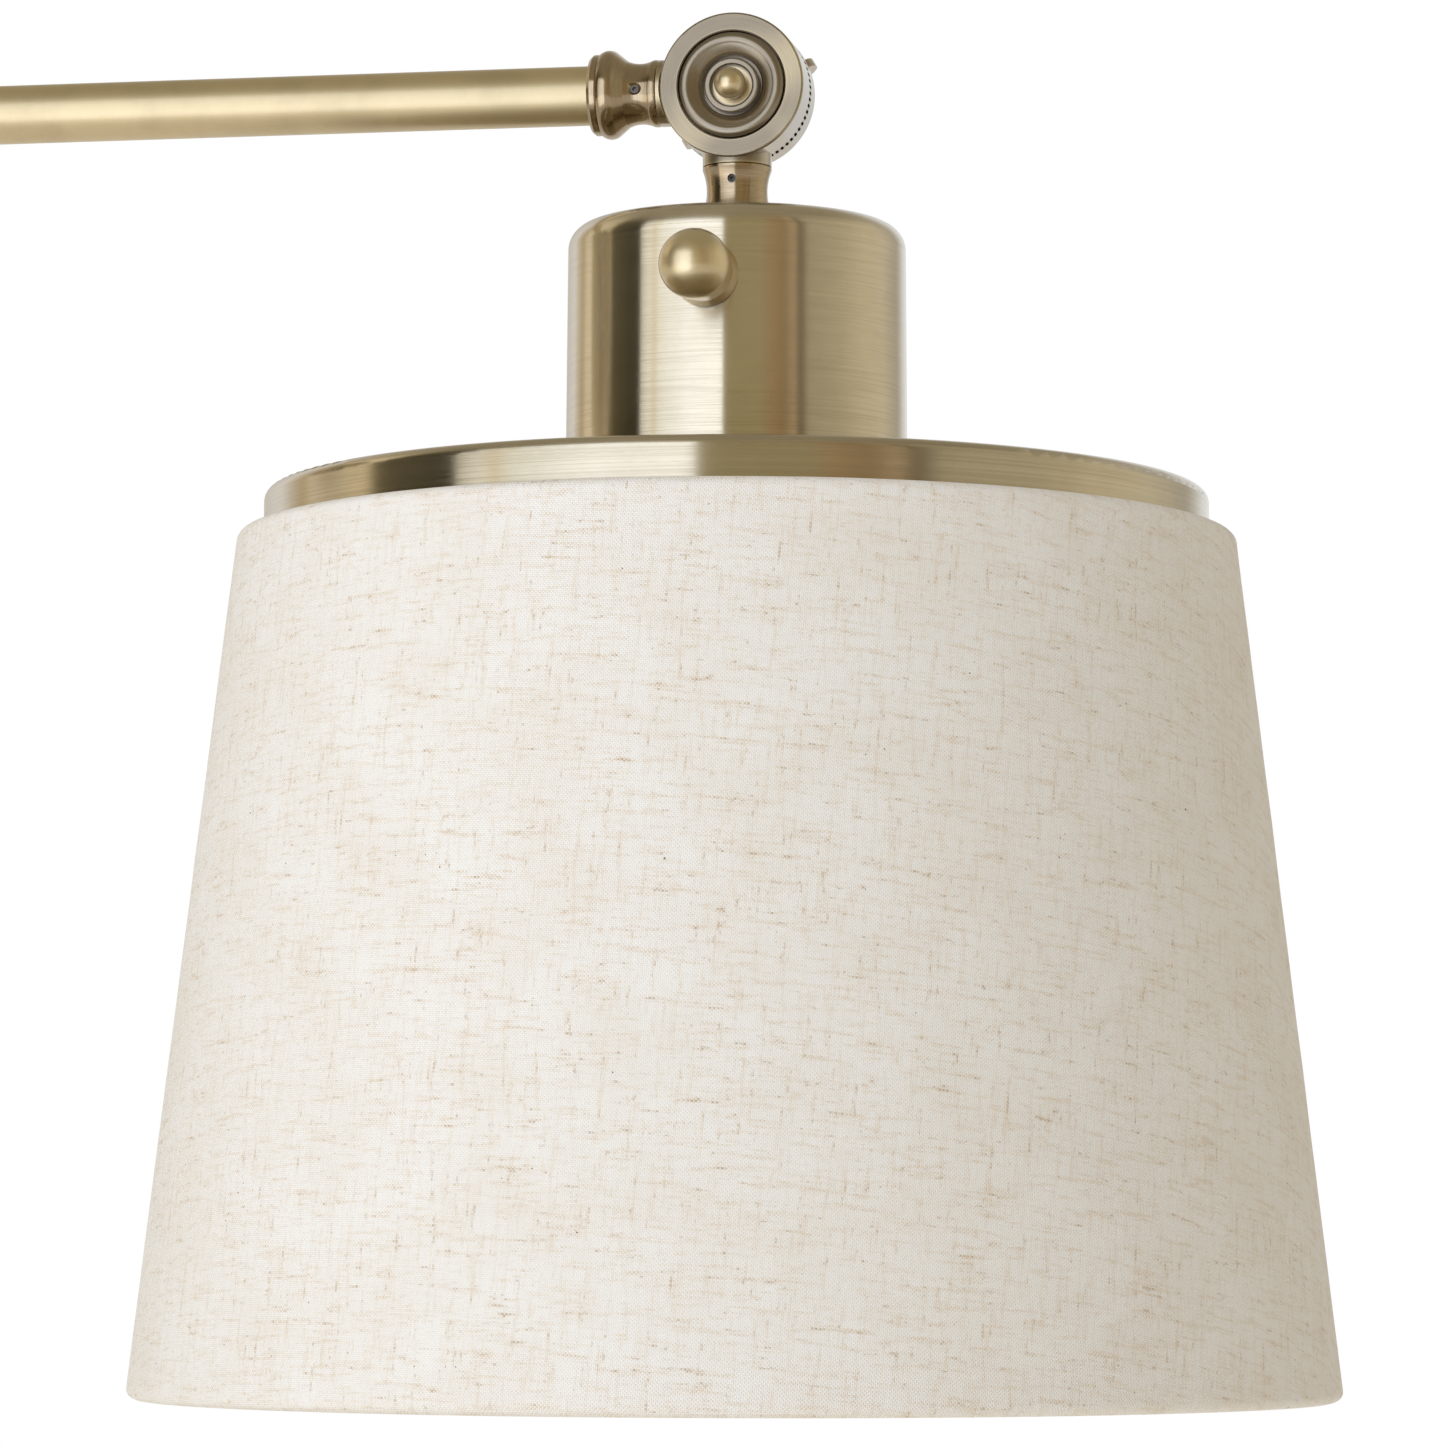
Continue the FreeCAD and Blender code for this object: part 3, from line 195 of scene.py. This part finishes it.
class Tree:
    """A node tree with short calls to add nodes and join them."""

    def __init__(self, owner):
        owner.use_nodes = True
        self.nodes = owner.node_tree.nodes
        self.links = owner.node_tree.links
        self.nodes.clear()

    def put(self, socket, value):
        """Joins a socket to another node's output, or sets it to a plain value."""
        if isinstance(value, bpy.types.NodeSocket):
            self.links.new(value, socket)
        else:
            socket.default_value = value

    def add(self, kind, inputs=None, **settings):
        node = self.nodes.new(kind)
        for name, value in settings.items():
            setattr(node, name, value)
        for name, value in (inputs or {}).items():
            self.put(node.inputs[name], value)
        return node

    def math(self, operation, first, second=0.0, third=0.0):
        node = self.add("ShaderNodeMath", operation=operation)
        for socket, value in zip(node.inputs, (first, second, third)):
            self.put(socket, value)
        return node.outputs[0]

    def times(self, first, second):
        return self.math("MULTIPLY", first, second)

    def vector(self, x=0.0, y=0.0, z=0.0):
        return self.add("ShaderNodeCombineXYZ", {"X": x, "Y": y, "Z": z}).outputs[0]

    def same(self, value):
        """A vector with the same value three times."""
        return self.vector(value, value, value)

    def split(self, vector):
        return self.add("ShaderNodeSeparateXYZ", {"Vector": vector}).outputs

    def vectors(self, operation, first, second=None, output="Vector"):
        """Arithmetic on one or two vectors."""
        node = self.add("ShaderNodeVectorMath", operation=operation)
        self.put(node.inputs[0], first)
        if second is not None:
            self.put(node.inputs[1], second)
        return node.outputs[output]

    def noise(self, vector, scale, detail=2.0, roughness=0.5):
        inputs = {"Vector": vector, "Scale": scale, "Detail": detail, "Roughness": roughness}
        return self.add("ShaderNodeTexNoise", inputs).outputs["Fac"]

    def band(self, value, low, high, to_low=0.0, to_high=1.0):
        """value, mapped smoothly from low..high to to_low..to_high and held beyond."""
        inputs = {"Value": value, "From Min": low, "From Max": high, "To Min": to_low, "To Max": to_high}
        return self.add("ShaderNodeMapRange", inputs, interpolation_type="SMOOTHSTEP").outputs[0]

    def blend(self, factor, first, second):
        """A colour from first to second, by a factor of 0 to 1."""
        node = self.add("ShaderNodeMix", data_type="RGBA")
        self.put(node.inputs["Factor"], factor)
        self.put(node.inputs[6], first)
        self.put(node.inputs[7], second)
        return node.outputs[2]

    def choose(self, factor, first, second):
        """One of two directions, by a factor of 0 or 1."""
        node = self.add("ShaderNodeMix", data_type="VECTOR")
        self.put(node.inputs["Factor"], factor)
        self.put(node.inputs[4], first)
        self.put(node.inputs[5], second)
        return node.outputs[1]

    def ramp(self, share, stops):
        """Colours along a share of 0 to 1."""
        node = self.add("ShaderNodeValToRGB", {"Fac": share})
        elements = node.color_ramp.elements
        for index, (place, shade) in enumerate(stops):
            stop = elements[index] if index < 2 else elements.new(place)
            stop.position = place
            stop.color = colour(*shade)
        return node.outputs[0]

    def open_to(self, reach, inside=False):
        """How open the surface is, from 0 to 1, to its surroundings or, with inside, to its own inside."""
        node = self.add("ShaderNodeAmbientOcclusion", {"Distance": reach}, samples=8, inside=inside)
        return node.outputs["AO"]

    def turn(self, vector, start, end):
        """A normal carried from one space to another, WORLD or OBJECT."""
        node = self.add("ShaderNodeVectorTransform", {"Vector": vector}, vector_type="NORMAL",
                        convert_from=start, convert_to=end)
        return node.outputs[0]

    def bump(self, height, distance, strength, normal=None):
        inputs = {"Height": height, "Distance": distance, "Strength": strength}
        if normal is not None:
            inputs["Normal"] = normal
        return self.add("ShaderNodeBump", inputs).outputs[0]

    def surface(self, inputs):
        """Ends the tree with one principled shader."""
        shader = self.add("ShaderNodeBsdfPrincipled", inputs)
        output = self.add("ShaderNodeOutputMaterial")
        self.links.new(shader.outputs[0], output.inputs["Surface"])
        return shader


def colour(red, green, blue):
    return (red, green, blue, 1.0)


def new_material(name):
    material = bpy.data.materials.new(name)
    return material, Tree(material)


def from_place(tree, centre):
    """Object coordinates measured from a point."""
    place = tree.add("ShaderNodeTexCoord").outputs["Object"]
    return tree.vectors("SUBTRACT", place, centre)


def around_axis(tree, centre, axis):
    """(angle round, distance from, height along) an axis through a point."""
    x, y, z = tree.split(from_place(tree, centre))
    across, up, along = {"X": (y, z, x), "Y": (z, x, y), "Z": (x, y, z)}[axis]
    squares = tree.math("ADD", tree.times(across, across), tree.times(up, up))
    return tree.math("ARCTAN2", up, across), tree.math("SQRT", squares), along


def turned_normal(tree, centre, axis, ball_end):
    """The normal of a part turned about an axis: exact on its straight walls and on its flat faces.

    A part with a ball for an end has no flat face there, and takes the facet's own normal instead.
    """
    line = Vector([float(letter == axis) for letter in "XYZ"])
    geometry = tree.add("ShaderNodeNewGeometry").outputs
    smooth = tree.turn(geometry["Normal"], "WORLD", "OBJECT")
    facet = tree.turn(geometry["True Normal"], "WORLD", "OBJECT")
    level = tree.vectors("MULTIPLY", from_place(tree, centre), Vector((1.0, 1.0, 1.0)) - line)
    out = tree.vectors("NORMALIZE", level)
    across = tree.vectors("DOT_PRODUCT", out, facet, output="Value")
    along = tree.vectors("DOT_PRODUCT", line, facet, output="Value")
    on_wall = tree.math("GREATER_THAN", tree.math("ABSOLUTE", across), FACES_OUT)
    on_end = tree.math("GREATER_THAN", tree.math("ABSOLUTE", along), FACES_OUT if ball_end else FACES_ALONG)
    straight = tree.vectors("MULTIPLY", out, tree.same(tree.math("SIGN", across)))
    end = facet if ball_end else tree.vectors("MULTIPLY", line, tree.same(tree.math("SIGN", along)))
    normal = tree.choose(on_end, tree.choose(on_wall, smooth, straight), end)
    return tree.turn(normal, "OBJECT", "WORLD")


# --- Metals ------------------------------------------------------------------------------------


def brass(name, centre, axis, tint, dark, roughness, anisotropy=0.0, brush=0.0, wear=0.0, coat=0.4,
          sides=None, ball=None):
    """Antique brass turned about an axis: fine lines round it, cloudy patina, dark hollows, bright edges.

    sides is the roughness of the faces that look away from the axis, where they are more polished.
    ball is the radius of a golden ball at its end, outside which it has the colour of the castings.
    """
    material, tree = new_material(name)
    angle, radius, along = around_axis(tree, centre, axis)
    drawn_out = tree.vector(tree.times(angle, 1.6), tree.times(radius, 4200.0), tree.times(along, 4200.0))
    lines = tree.noise(drawn_out, 1.0, 3.0, 0.6)
    clouds = tree.noise(from_place(tree, centre), 70.0, 4.0, 0.6)
    if ball is not None:
        tint = tree.blend(tree.band(radius, ball, ball + BALL_EDGE), tint, CAST)
    base = tree.blend(tree.band(clouds, 0.4, 0.75, 0.0, 0.18), tint, dark)
    if sides is not None:
        glow = tree.noise(from_place(tree, centre), 55.0, 1.0)
        base = tree.blend(tree.band(glow, 0.42, 0.66, 0.0, 0.5), base, GOLDEN)
    base = tree.blend(tree.band(lines, 0.35, 0.7, 0.0, 0.45 * brush), base, dark)
    if wear:
        edge = tree.open_to(EDGE_REACH, inside=True)
        hollow = tree.open_to(HOLLOW_REACH)
        base = tree.blend(tree.band(edge, 0.3, 0.85, wear, 0.0), base, GOLDEN)
        base = tree.blend(tree.band(hollow, 0.25, 0.75, wear, 0.0), base, dark)
    rough = tree.band(lines, 0.3, 0.7, roughness - 0.02, roughness + 0.02 + 0.03 * brush)
    if sides is not None:
        facing = tree.split(tree.add("ShaderNodeNewGeometry").outputs["True Normal"])["XYZ".index(axis)]
        flat = tree.band(tree.math("ABSOLUTE", facing), 0.3, 0.8)
        rough = tree.math("MULTIPLY_ADD", flat, roughness - sides, sides)
        base = tree.blend(flat, POLISHED, base)
    shader = tree.surface({
        "Base Color": base,
        "Metallic": 1.0,
        "Roughness": rough,
        "Anisotropic": anisotropy,
        "Anisotropic Rotation": 0.25,
        "Coat Weight": coat,
        "Coat Roughness": 0.12,
        "Normal": tree.bump(lines, 0.000003, 0.1, turned_normal(tree, centre, axis, ball is not None)),
    })
    tangent = tree.add("ShaderNodeTangent", direction_type="RADIAL", axis=axis)
    tree.links.new(tangent.outputs[0], shader.inputs["Tangent"])
    return material


def plain_metal(name, tint, roughness):
    """A small bright part: even metal with faint mottling and fine scratches."""
    material, tree = new_material(name)
    clouds = tree.noise(from_place(tree, Vector()), 220.0, 3.0)
    scratches = tree.noise(from_place(tree, Vector()), 2500.0, 2.0)
    darker = tuple(channel * 0.6 for channel in tint[:3]) + (1.0,)
    tree.surface({
        "Base Color": tree.blend(tree.band(clouds, 0.35, 0.75, 0.0, 0.2), tint, darker),
        "Metallic": 1.0,
        "Roughness": tree.band(clouds, 0.3, 0.7, roughness - 0.06, roughness + 0.08),
        "Normal": tree.bump(scratches, 0.00001, 0.3),
    })
    return material


def moulded(name, tint, roughness):
    """A moulded plastic, a film or a paint: faint unevenness of colour and a fine skin."""
    material, tree = new_material(name)
    clouds = tree.noise(from_place(tree, Vector()), 150.0, 3.0)
    skin = tree.noise(from_place(tree, Vector()), 3000.0, 2.0)
    lighter = tuple(min(1.0, channel * 1.05 + 0.004) for channel in tint[:3]) + (1.0,)
    tree.surface({
        "Base Color": tree.blend(tree.band(clouds, 0.35, 0.7), tint, lighter),
        "Roughness": tree.band(clouds, 0.3, 0.7, roughness - 0.05, roughness + 0.08),
        "Normal": tree.bump(skin, 0.00002, 0.4),
    })
    return material


# --- Linen -------------------------------------------------------------------------------------


def thread_set(tree, along, across):
    """One set of threads: (profile across each thread, soft tan streaks, sharp tan slubs)."""
    count = tree.math("DIVIDE", across, THREAD)
    profile = tree.math("SINE", tree.times(tree.math("FRACT", count), math.pi))
    lane = tree.times(tree.math("FLOOR", count), 3.71)
    soft = tree.noise(tree.vector(tree.times(along, 190.0), lane), 1.0, 3.0, 0.7)
    sharp = tree.noise(tree.vector(tree.times(along, 330.0), lane, 9.0), 1.0, 2.0, 0.65)
    where = tree.noise(tree.vector(tree.times(along, 75.0), tree.times(across, 600.0), 5.0), 1.0, 4.0, 0.65)
    streak = tree.band(tree.math("ADD", soft, where), 0.94, 1.34)
    slub = tree.band(tree.math("ADD", sharp, tree.times(where, 0.8)), 1.06, 1.2)
    return profile, streak, slub


def cloth_plane(tree):
    """Flat coordinates of the cut cloth: the cone unrolled about its apex, level where the grain lies."""
    angle, _, height = around_axis(tree, LAMP_AXIS, "Z")
    turned = tree.math("SUBTRACT", tree.math("ADD", angle, math.pi / 2), GRAIN_AZIMUTH)
    wrapped = tree.math("WRAP", turned, math.pi, -math.pi)
    half_angle = math.atan(SLOPE)
    slant = tree.math("DIVIDE", tree.math("SUBTRACT", APEX_HEIGHT, height), math.cos(half_angle))
    sweep = tree.times(wrapped, math.sin(half_angle))
    across = tree.times(slant, tree.math("SINE", sweep))
    down = tree.times(slant, tree.math("COSINE", sweep))
    return across, down


def linen():
    """Plain-woven linen: off-white threads, tan streaks and slubs along both sets, a few dark flecks."""
    material, tree = new_material("linen")
    across, down = cloth_plane(tree)
    weft, weft_streak, weft_slub = thread_set(tree, across, down)
    warp, warp_streak, warp_slub = thread_set(tree, down, across)
    over = tree.times(tree.math("SINE", tree.times(across, math.pi / THREAD)),
                      tree.math("SINE", tree.times(down, math.pi / THREAD)))
    height = tree.math("ADD", tree.times(over, 0.5), tree.times(tree.math("ADD", weft, warp), 0.5))
    flat = tree.vector(across, down)
    mottle = tree.noise(flat, 45.0, 4.0, 0.6)
    base = tree.blend(tree.band(mottle, 0.3, 0.7), FLAX, BLEACHED)
    weft_up = tree.band(over, -0.5, 0.3, 0.25, 1.0)
    warp_up = tree.band(over, -0.3, 0.5, 1.0, 0.25)
    marks = (
        (weft_streak, weft_up, 0.72, STREAK_TAN),
        (warp_streak, warp_up, 0.52, STREAK_TAN),
        (weft_slub, weft_up, 0.75, SLUB_TAN),
        (warp_slub, warp_up, 0.65, SLUB_TAN),
    )
    for mark, thread_up, strength, tan in marks:
        shown = tree.times(tree.times(mark, thread_up), strength)
        base = tree.blend(shown, base, tan)
    # Painted shade: the low places of the weave, the gaps between threads, are darkened towards a tan.
    base = tree.blend(tree.band(height, -0.1, 0.75, 0.36, 0.0), base, GAP_PAINTED_SHADE)
    fleck = tree.band(tree.noise(flat, 1100.0, 1.0), 0.74, 0.80)
    rare = tree.band(tree.noise(flat, 70.0, 0.0), 0.62, 0.70)
    base = tree.blend(tree.times(fleck, rare), base, FLECK_BROWN)
    raised = tree.math("ADD", height, tree.times(tree.math("MAXIMUM", weft_slub, warp_slub), 0.8))
    tree.surface({
        "Base Color": base,
        "Roughness": 0.92,
        "Sheen Weight": 0.15,
        "Sheen Roughness": 0.5,
        "Normal": tree.bump(raised, 0.00014, 0.7),
    })
    return material


# --- Shade cover -------------------------------------------------------------------------------


def cloth_radius(height):
    """Radius of the middle of the cloth's thickness at a height on the shade's side."""
    return TOP_RADIUS + (fabric_high.z - height) * SLOPE - CLOTH / 2 * LEVEL


def arc(centre, across, up, start, end, steps):
    """Points on an ellipse's arc, angles in degrees from outward towards up."""
    points = []
    for step in range(steps + 1):
        angle = math.radians(start + (end - start) * step / steps)
        points.append((centre[0] + across * math.cos(angle), centre[1] + up * math.sin(angle)))
    return points


def cloth_path():
    """The middle of the cloth as (radius, height), from the top's turned-in edge to the bottom's.

    It goes up and over the top wire, down the shade's side, and under and behind the lower wire.
    """
    half = CLOTH / 2
    to_wire = (LINER_INSET + WIRE_RADIUS) * LEVEL - half
    round_wire = WIRE_RADIUS + half + WIRE_GAP
    inner_gap = LINER_INSET * LEVEL + half
    top = fabric_high.z - half - round_wire
    bottom = fabric_low.z + half + round_wire
    top_wire = (cloth_radius(top) - to_wire, top)
    bottom_wire = (cloth_radius(bottom) - to_wire, bottom)
    hem_start = top - round_wire - TURN_CLEAR
    hem_end = bottom + round_wire + TURN_CLEAR
    path = [(cloth_radius(height) - inner_gap, height) for height in (hem_start - TURN_IN, hem_start)]
    path += arc(top_wire, round_wire, round_wire, 235, 90, 12)
    path += arc(top_wire, to_wire, round_wire, 80, 8, 8)
    for step in range(SIDE_STEPS + 1):
        height = top - SIDE_REACH + (bottom - top + 2 * SIDE_REACH) * step / SIDE_STEPS
        path.append((cloth_radius(height), height))
    path += arc(bottom_wire, to_wire, round_wire, -8, -80, 8)
    path += arc(bottom_wire, round_wire, round_wire, -90, -235, 12)
    path += [(cloth_radius(height) - inner_gap, height) for height in (hem_end, hem_end + TURN_IN)]
    return path


def ribbon(path, thickness):
    """The closed outline of a ribbon of even thickness about a path."""
    left, right = [], []
    for index, point in enumerate(path):
        before = Vector(path[max(index - 1, 0)])
        after = Vector(path[min(index + 1, len(path) - 1)])
        normal = (after - before).orthogonal().normalized() * thickness / 2
        left.append(Vector(point) + normal)
        right.append(Vector(point) - normal)
    return left + right[::-1]


def seam_lift(turn):
    """How far the overlapped seam stands out, at an angle from the middle of the grain."""
    from_fold = (math.pi - turn) * cloth_radius((fabric_low.z + fabric_high.z) / 2)
    rise = from_fold / SEAM_FOLD
    fall = (SEAM_WIDTH + SEAM_EASE - from_fold) / SEAM_EASE
    return SEAM_STEP * max(0.0, min(1.0, rise, fall))


def cover_points(outline, turn):
    """The cloth's cut outline at one angle from the middle of the grain, rippled and lifted at the seam."""
    azimuth = GRAIN_AZIMUTH + turn
    lift = seam_lift(turn)
    points = []
    for radius, height in outline:
        ripple = noise.noise(Vector((azimuth * RIPPLES_ROUND, height * RIPPLES_DOWN, 0.0))) * RIPPLE
        outside = max(0.0, min(1.0, (radius - cloth_radius(height)) / SEAM_DEPTH))
        out = radius + ripple + lift * outside
        points.append((LAMP_AXIS.x + out * math.sin(azimuth), -out * math.cos(azimuth), height))
    return points


def cover_mesh():
    """The cover's outline swept once round the lamp."""
    outline = ribbon(cloth_path(), CLOTH)
    shell = bmesh.new()
    rings = []
    for step in range(AROUND):
        turn = -math.pi + 2 * math.pi * (step + 0.5) / AROUND
        rings.append([shell.verts.new(point) for point in cover_points(outline, turn)])
    for index, ring in enumerate(rings):
        following = rings[(index + 1) % AROUND]
        for place in range(len(ring)):
            beside = (place + 1) % len(ring)
            shell.faces.new((ring[place], ring[beside], following[beside], following[place]))
    bmesh.ops.recalc_face_normals(shell, faces=shell.faces)
    mesh = bpy.data.meshes.new("shade_cover")
    shell.to_mesh(mesh)
    shell.free()
    for polygon in mesh.polygons:
        polygon.use_smooth = True
    return mesh


def shade_cover(cloth):
    """The linen cover, one closed sheet wrapped round both wires, with its seam at the back."""
    mesh = cover_mesh()
    mesh.materials.append(cloth)
    piece = bpy.data.objects.new("shade_cover", mesh)
    bpy.context.scene.collection.objects.link(piece)
    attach(piece, "head")
    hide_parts("shade_fabric")


# --- Materials on the CAD parts ----------------------------------------------------------------


def dress(cloth):
    """Gives every CAD part its material, by its name or else by its slot in the record."""
    spun = {"tint": SPUN, "dark": SPUN_DARK, "roughness": 0.19, "anisotropy": 0.95, "brush": 0.65,
            "coat": 1.0}
    cast = {"tint": CAST, "dark": CAST_DARK, "roughness": 0.38, "brush": 0.3, "wear": 0.9, "sides": 0.08}
    dished = {"tint": CAST, "dark": CAST_DARK, "roughness": 0.33, "brush": 0.3, "wear": 0.35, "coat": 0.8}
    turned = {"tint": TURNED, "dark": CAST_DARK, "roughness": 0.2, "anisotropy": 0.6, "brush": 0.5}
    satin = {"tint": GOLDEN, "dark": GOLDEN_DARK, "roughness": 0.38, "brush": 0.1, "coat": 1.0}
    cup = brass("brass_spun", LAMP_AXIS, "Z", **spun)
    # The lid's rim: heavier brush lines like the real part's, and the brushed tint darkened as painted
    # shade.
    rim = brass("brass_rim_brushed_painted_shade", LAMP_AXIS, "Z", **{**spun, "tint": RIM_PAINTED_SHADE, "brush": 1.0})
    knuckle = brass("brass_cast_lamp", LAMP_AXIS, "Y", **cast)
    wall_knuckle = brass("brass_cast_wall", WALL_PIN, "Z", **cast)
    neck = brass("brass_neck", LAMP_AXIS, "Z", **turned)
    collar = brass("brass_collar", Vector(), "X", **turned)
    by_slot = {
        "antique_brass": knuckle,
        "linen": cloth,
        "raw_brass": plain_metal("raw_brass", colour(0.72, 0.52, 0.24), 0.28),
        "zinc_steel": plain_metal("zinc_steel", colour(0.60, 0.60, 0.58), 0.36),
        "black_steel": plain_metal("black_steel", colour(0.10, 0.09, 0.08), 0.35),
        "earth_green": plain_metal("earth_green", colour(0.10, 0.32, 0.14), 0.40),
        "phenolic": moulded("phenolic", colour(0.018, 0.014, 0.012), 0.32),
        "connector": moulded("connector", colour(0.62, 0.30, 0.05), 0.42),
        "lead_insulation": moulded("lead_insulation", colour(0.70, 0.62, 0.42), 0.45),
        "white_wire": moulded("white_wire", colour(0.78, 0.77, 0.74), 0.40),
        "shade_film": moulded("shade_film", colour(0.83, 0.81, 0.76), 0.50),
    }
    by_node = {
        "socket_cup": cup,
        "shade_cap": rim,
        "shade_cap_rim": rim,
        "wall_plate": brass("brass_spun_plate", Vector(), "X", **spun),
        "arm_tube": brass("brass_tube", Vector(), "X", GOLDEN, GOLDEN_DARK, 0.45, coat=0.6),
        "arm_collar_lamp": collar,
        "arm_collar_wall": collar,
        "wall_neck": collar,
        "lamp_neck": neck,
        "swing_knuckle_lower": wall_knuckle,
        "swing_knuckle_upper": wall_knuckle,
        "swing_wing_nut": wall_knuckle,
        "tilt_rosette": brass("brass_rosette_lamp", LAMP_AXIS, "Y", **dished),
        "swing_rosette": brass("brass_rosette_wall", WALL_PIN, "Z", **dished),
        "switch_knob": brass("brass_knob", KNOB, "Y", **satin, ball=ALL_BALL),
        "tilt_finial_nut": brass("brass_finial_lamp", LAMP_AXIS, "Y", **satin, ball=BALL),
        "swing_finial_nut": brass("brass_finial_wall", WALL_PIN, "Z", **satin, ball=BALL),
    }
    slots = {part["node"]: part["material_slot"] for part in frame["record"]["subparts"]}
    for name, node in frame["nodes"].items():
        material = by_node.get(name) or by_slot[slots[name]]
        node.data.materials.clear()
        node.data.materials.append(material)


# --- Stage -------------------------------------------------------------------------------------


def floor():
    """A wide pale floor, far below the lamp."""
    low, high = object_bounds()
    middle = (low + high) / 2
    mesh = bpy.data.meshes.new("floor")
    disc = bmesh.new()
    bmesh.ops.create_circle(disc, cap_ends=True, radius=FLOOR_RADIUS, segments=96)
    disc.to_mesh(mesh)
    disc.free()
    ground = bpy.data.objects.new("floor", mesh)
    ground.location = (middle.x, middle.y, -FLOOR_DROP)
    bpy.context.scene.collection.objects.link(ground)
    material, tree = new_material("floor")
    clouds = tree.noise(from_place(tree, Vector()), 3.0, 3.0)
    tree.surface({
        "Base Color": tree.blend(clouds, colour(0.84, 0.83, 0.81), colour(0.88, 0.875, 0.86)),
        "Roughness": 0.7,
        "Emission Color": colour(1.0, 0.97, 0.92),
        "Emission Strength": FLOOR_GLOW,
    })
    mesh.materials.append(material)
    ground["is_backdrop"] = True


def softbox():
    """A large soft light to the left of the camera, which the view itself does not show."""
    data = bpy.data.lights.new("softbox", "AREA")
    data.shape = "RECTANGLE"
    data.size, data.size_y = SOFTBOX_SIZE
    data.energy = SOFTBOX_POWER
    data.color = SOFTBOX_COLOUR
    tree = Tree(data)
    width = tree.split(tree.add("ShaderNodeNewGeometry").outputs["Parametric"])[0]
    sheet = tree.add("ShaderNodeEmission", {"Color": tree.ramp(width, SOFTBOX_SHEET), "Strength": 1.0})
    tree.links.new(sheet.outputs[0], tree.add("ShaderNodeOutputLight").inputs["Surface"])
    light = bpy.data.objects.new("softbox", data)
    outward = Vector((math.sin(SOFTBOX_AZIMUTH), -math.cos(SOFTBOX_AZIMUTH), 0.0))
    light.location = LAMP_AXIS + outward * SOFTBOX_DISTANCE + Vector((0.0, 0.0, SOFTBOX_RAISE))
    light.rotation_euler = (-outward).to_track_quat("-Z", "Y").to_euler()
    light.visible_camera = False
    bpy.context.scene.collection.objects.link(light)


def surroundings():
    """A studio, darker behind the camera and left of the softbox, and white where the view sees it."""
    world = bpy.data.worlds.new("studio")
    bpy.context.scene.world = world
    tree = Tree(world)
    x, y, z = tree.split(tree.add("ShaderNodeTexCoord").outputs["Generated"])
    angle = tree.math("ARCTAN2", x, tree.times(y, -1.0))
    share = tree.math("ADD", tree.math("DIVIDE", angle, 2 * math.pi), 0.5)
    around = tree.ramp(share, [(degrees / 360 + 0.5, shade) for degrees, shade in SURROUNDINGS])
    overhead = tree.band(z, 0.45, 0.85)
    shade = tree.blend(overhead, around, colour(*OVERHEAD))
    path = tree.add("ShaderNodeLightPath").outputs
    inner = tree.blend(path["Is Diffuse Ray"], shade, colour(*FILL))
    shown = tree.blend(path["Is Camera Ray"], inner, colour(1.0, 1.0, 1.0))
    light = tree.add("ShaderNodeBackground", {"Color": shown, "Strength": 1.0})
    output = tree.add("ShaderNodeOutputWorld")
    tree.links.new(light.outputs[0], output.inputs["Surface"])


def camera():
    """The photographer's view."""
    data = bpy.data.cameras.new("camera")
    data.lens = LENS_MM
    data.sensor_width = 36.0
    eye = bpy.data.objects.new("camera", data)
    outward = Vector((math.sin(CAMERA_AZIMUTH), -math.cos(CAMERA_AZIMUTH), 0.0))
    right = Vector((math.cos(CAMERA_AZIMUTH), math.sin(CAMERA_AZIMUTH), 0.0))
    height = fabric_low.z + CAMERA_ABOVE_HEM
    eye.location = LAMP_AXIS + outward * CAMERA_DISTANCE + Vector((0.0, 0.0, height))
    ahead = (-outward - right * CAMERA_ASIDE).normalized()
    ahead = ahead * math.cos(CAMERA_PITCH) + Vector((0.0, 0.0, math.sin(CAMERA_PITCH)))
    look = ahead.to_track_quat("-Z", "Y").to_matrix() @ Matrix.Rotation(CAMERA_ROLL, 3, "Z")
    eye.rotation_euler = look.to_euler()
    bpy.context.scene.collection.objects.link(eye)
    bpy.context.scene.camera = eye


bpy.context.scene.view_settings.view_transform = "Standard"
cloth = linen()
dress(cloth)
shade_cover(cloth)
floor()
softbox()
surroundings()
camera()
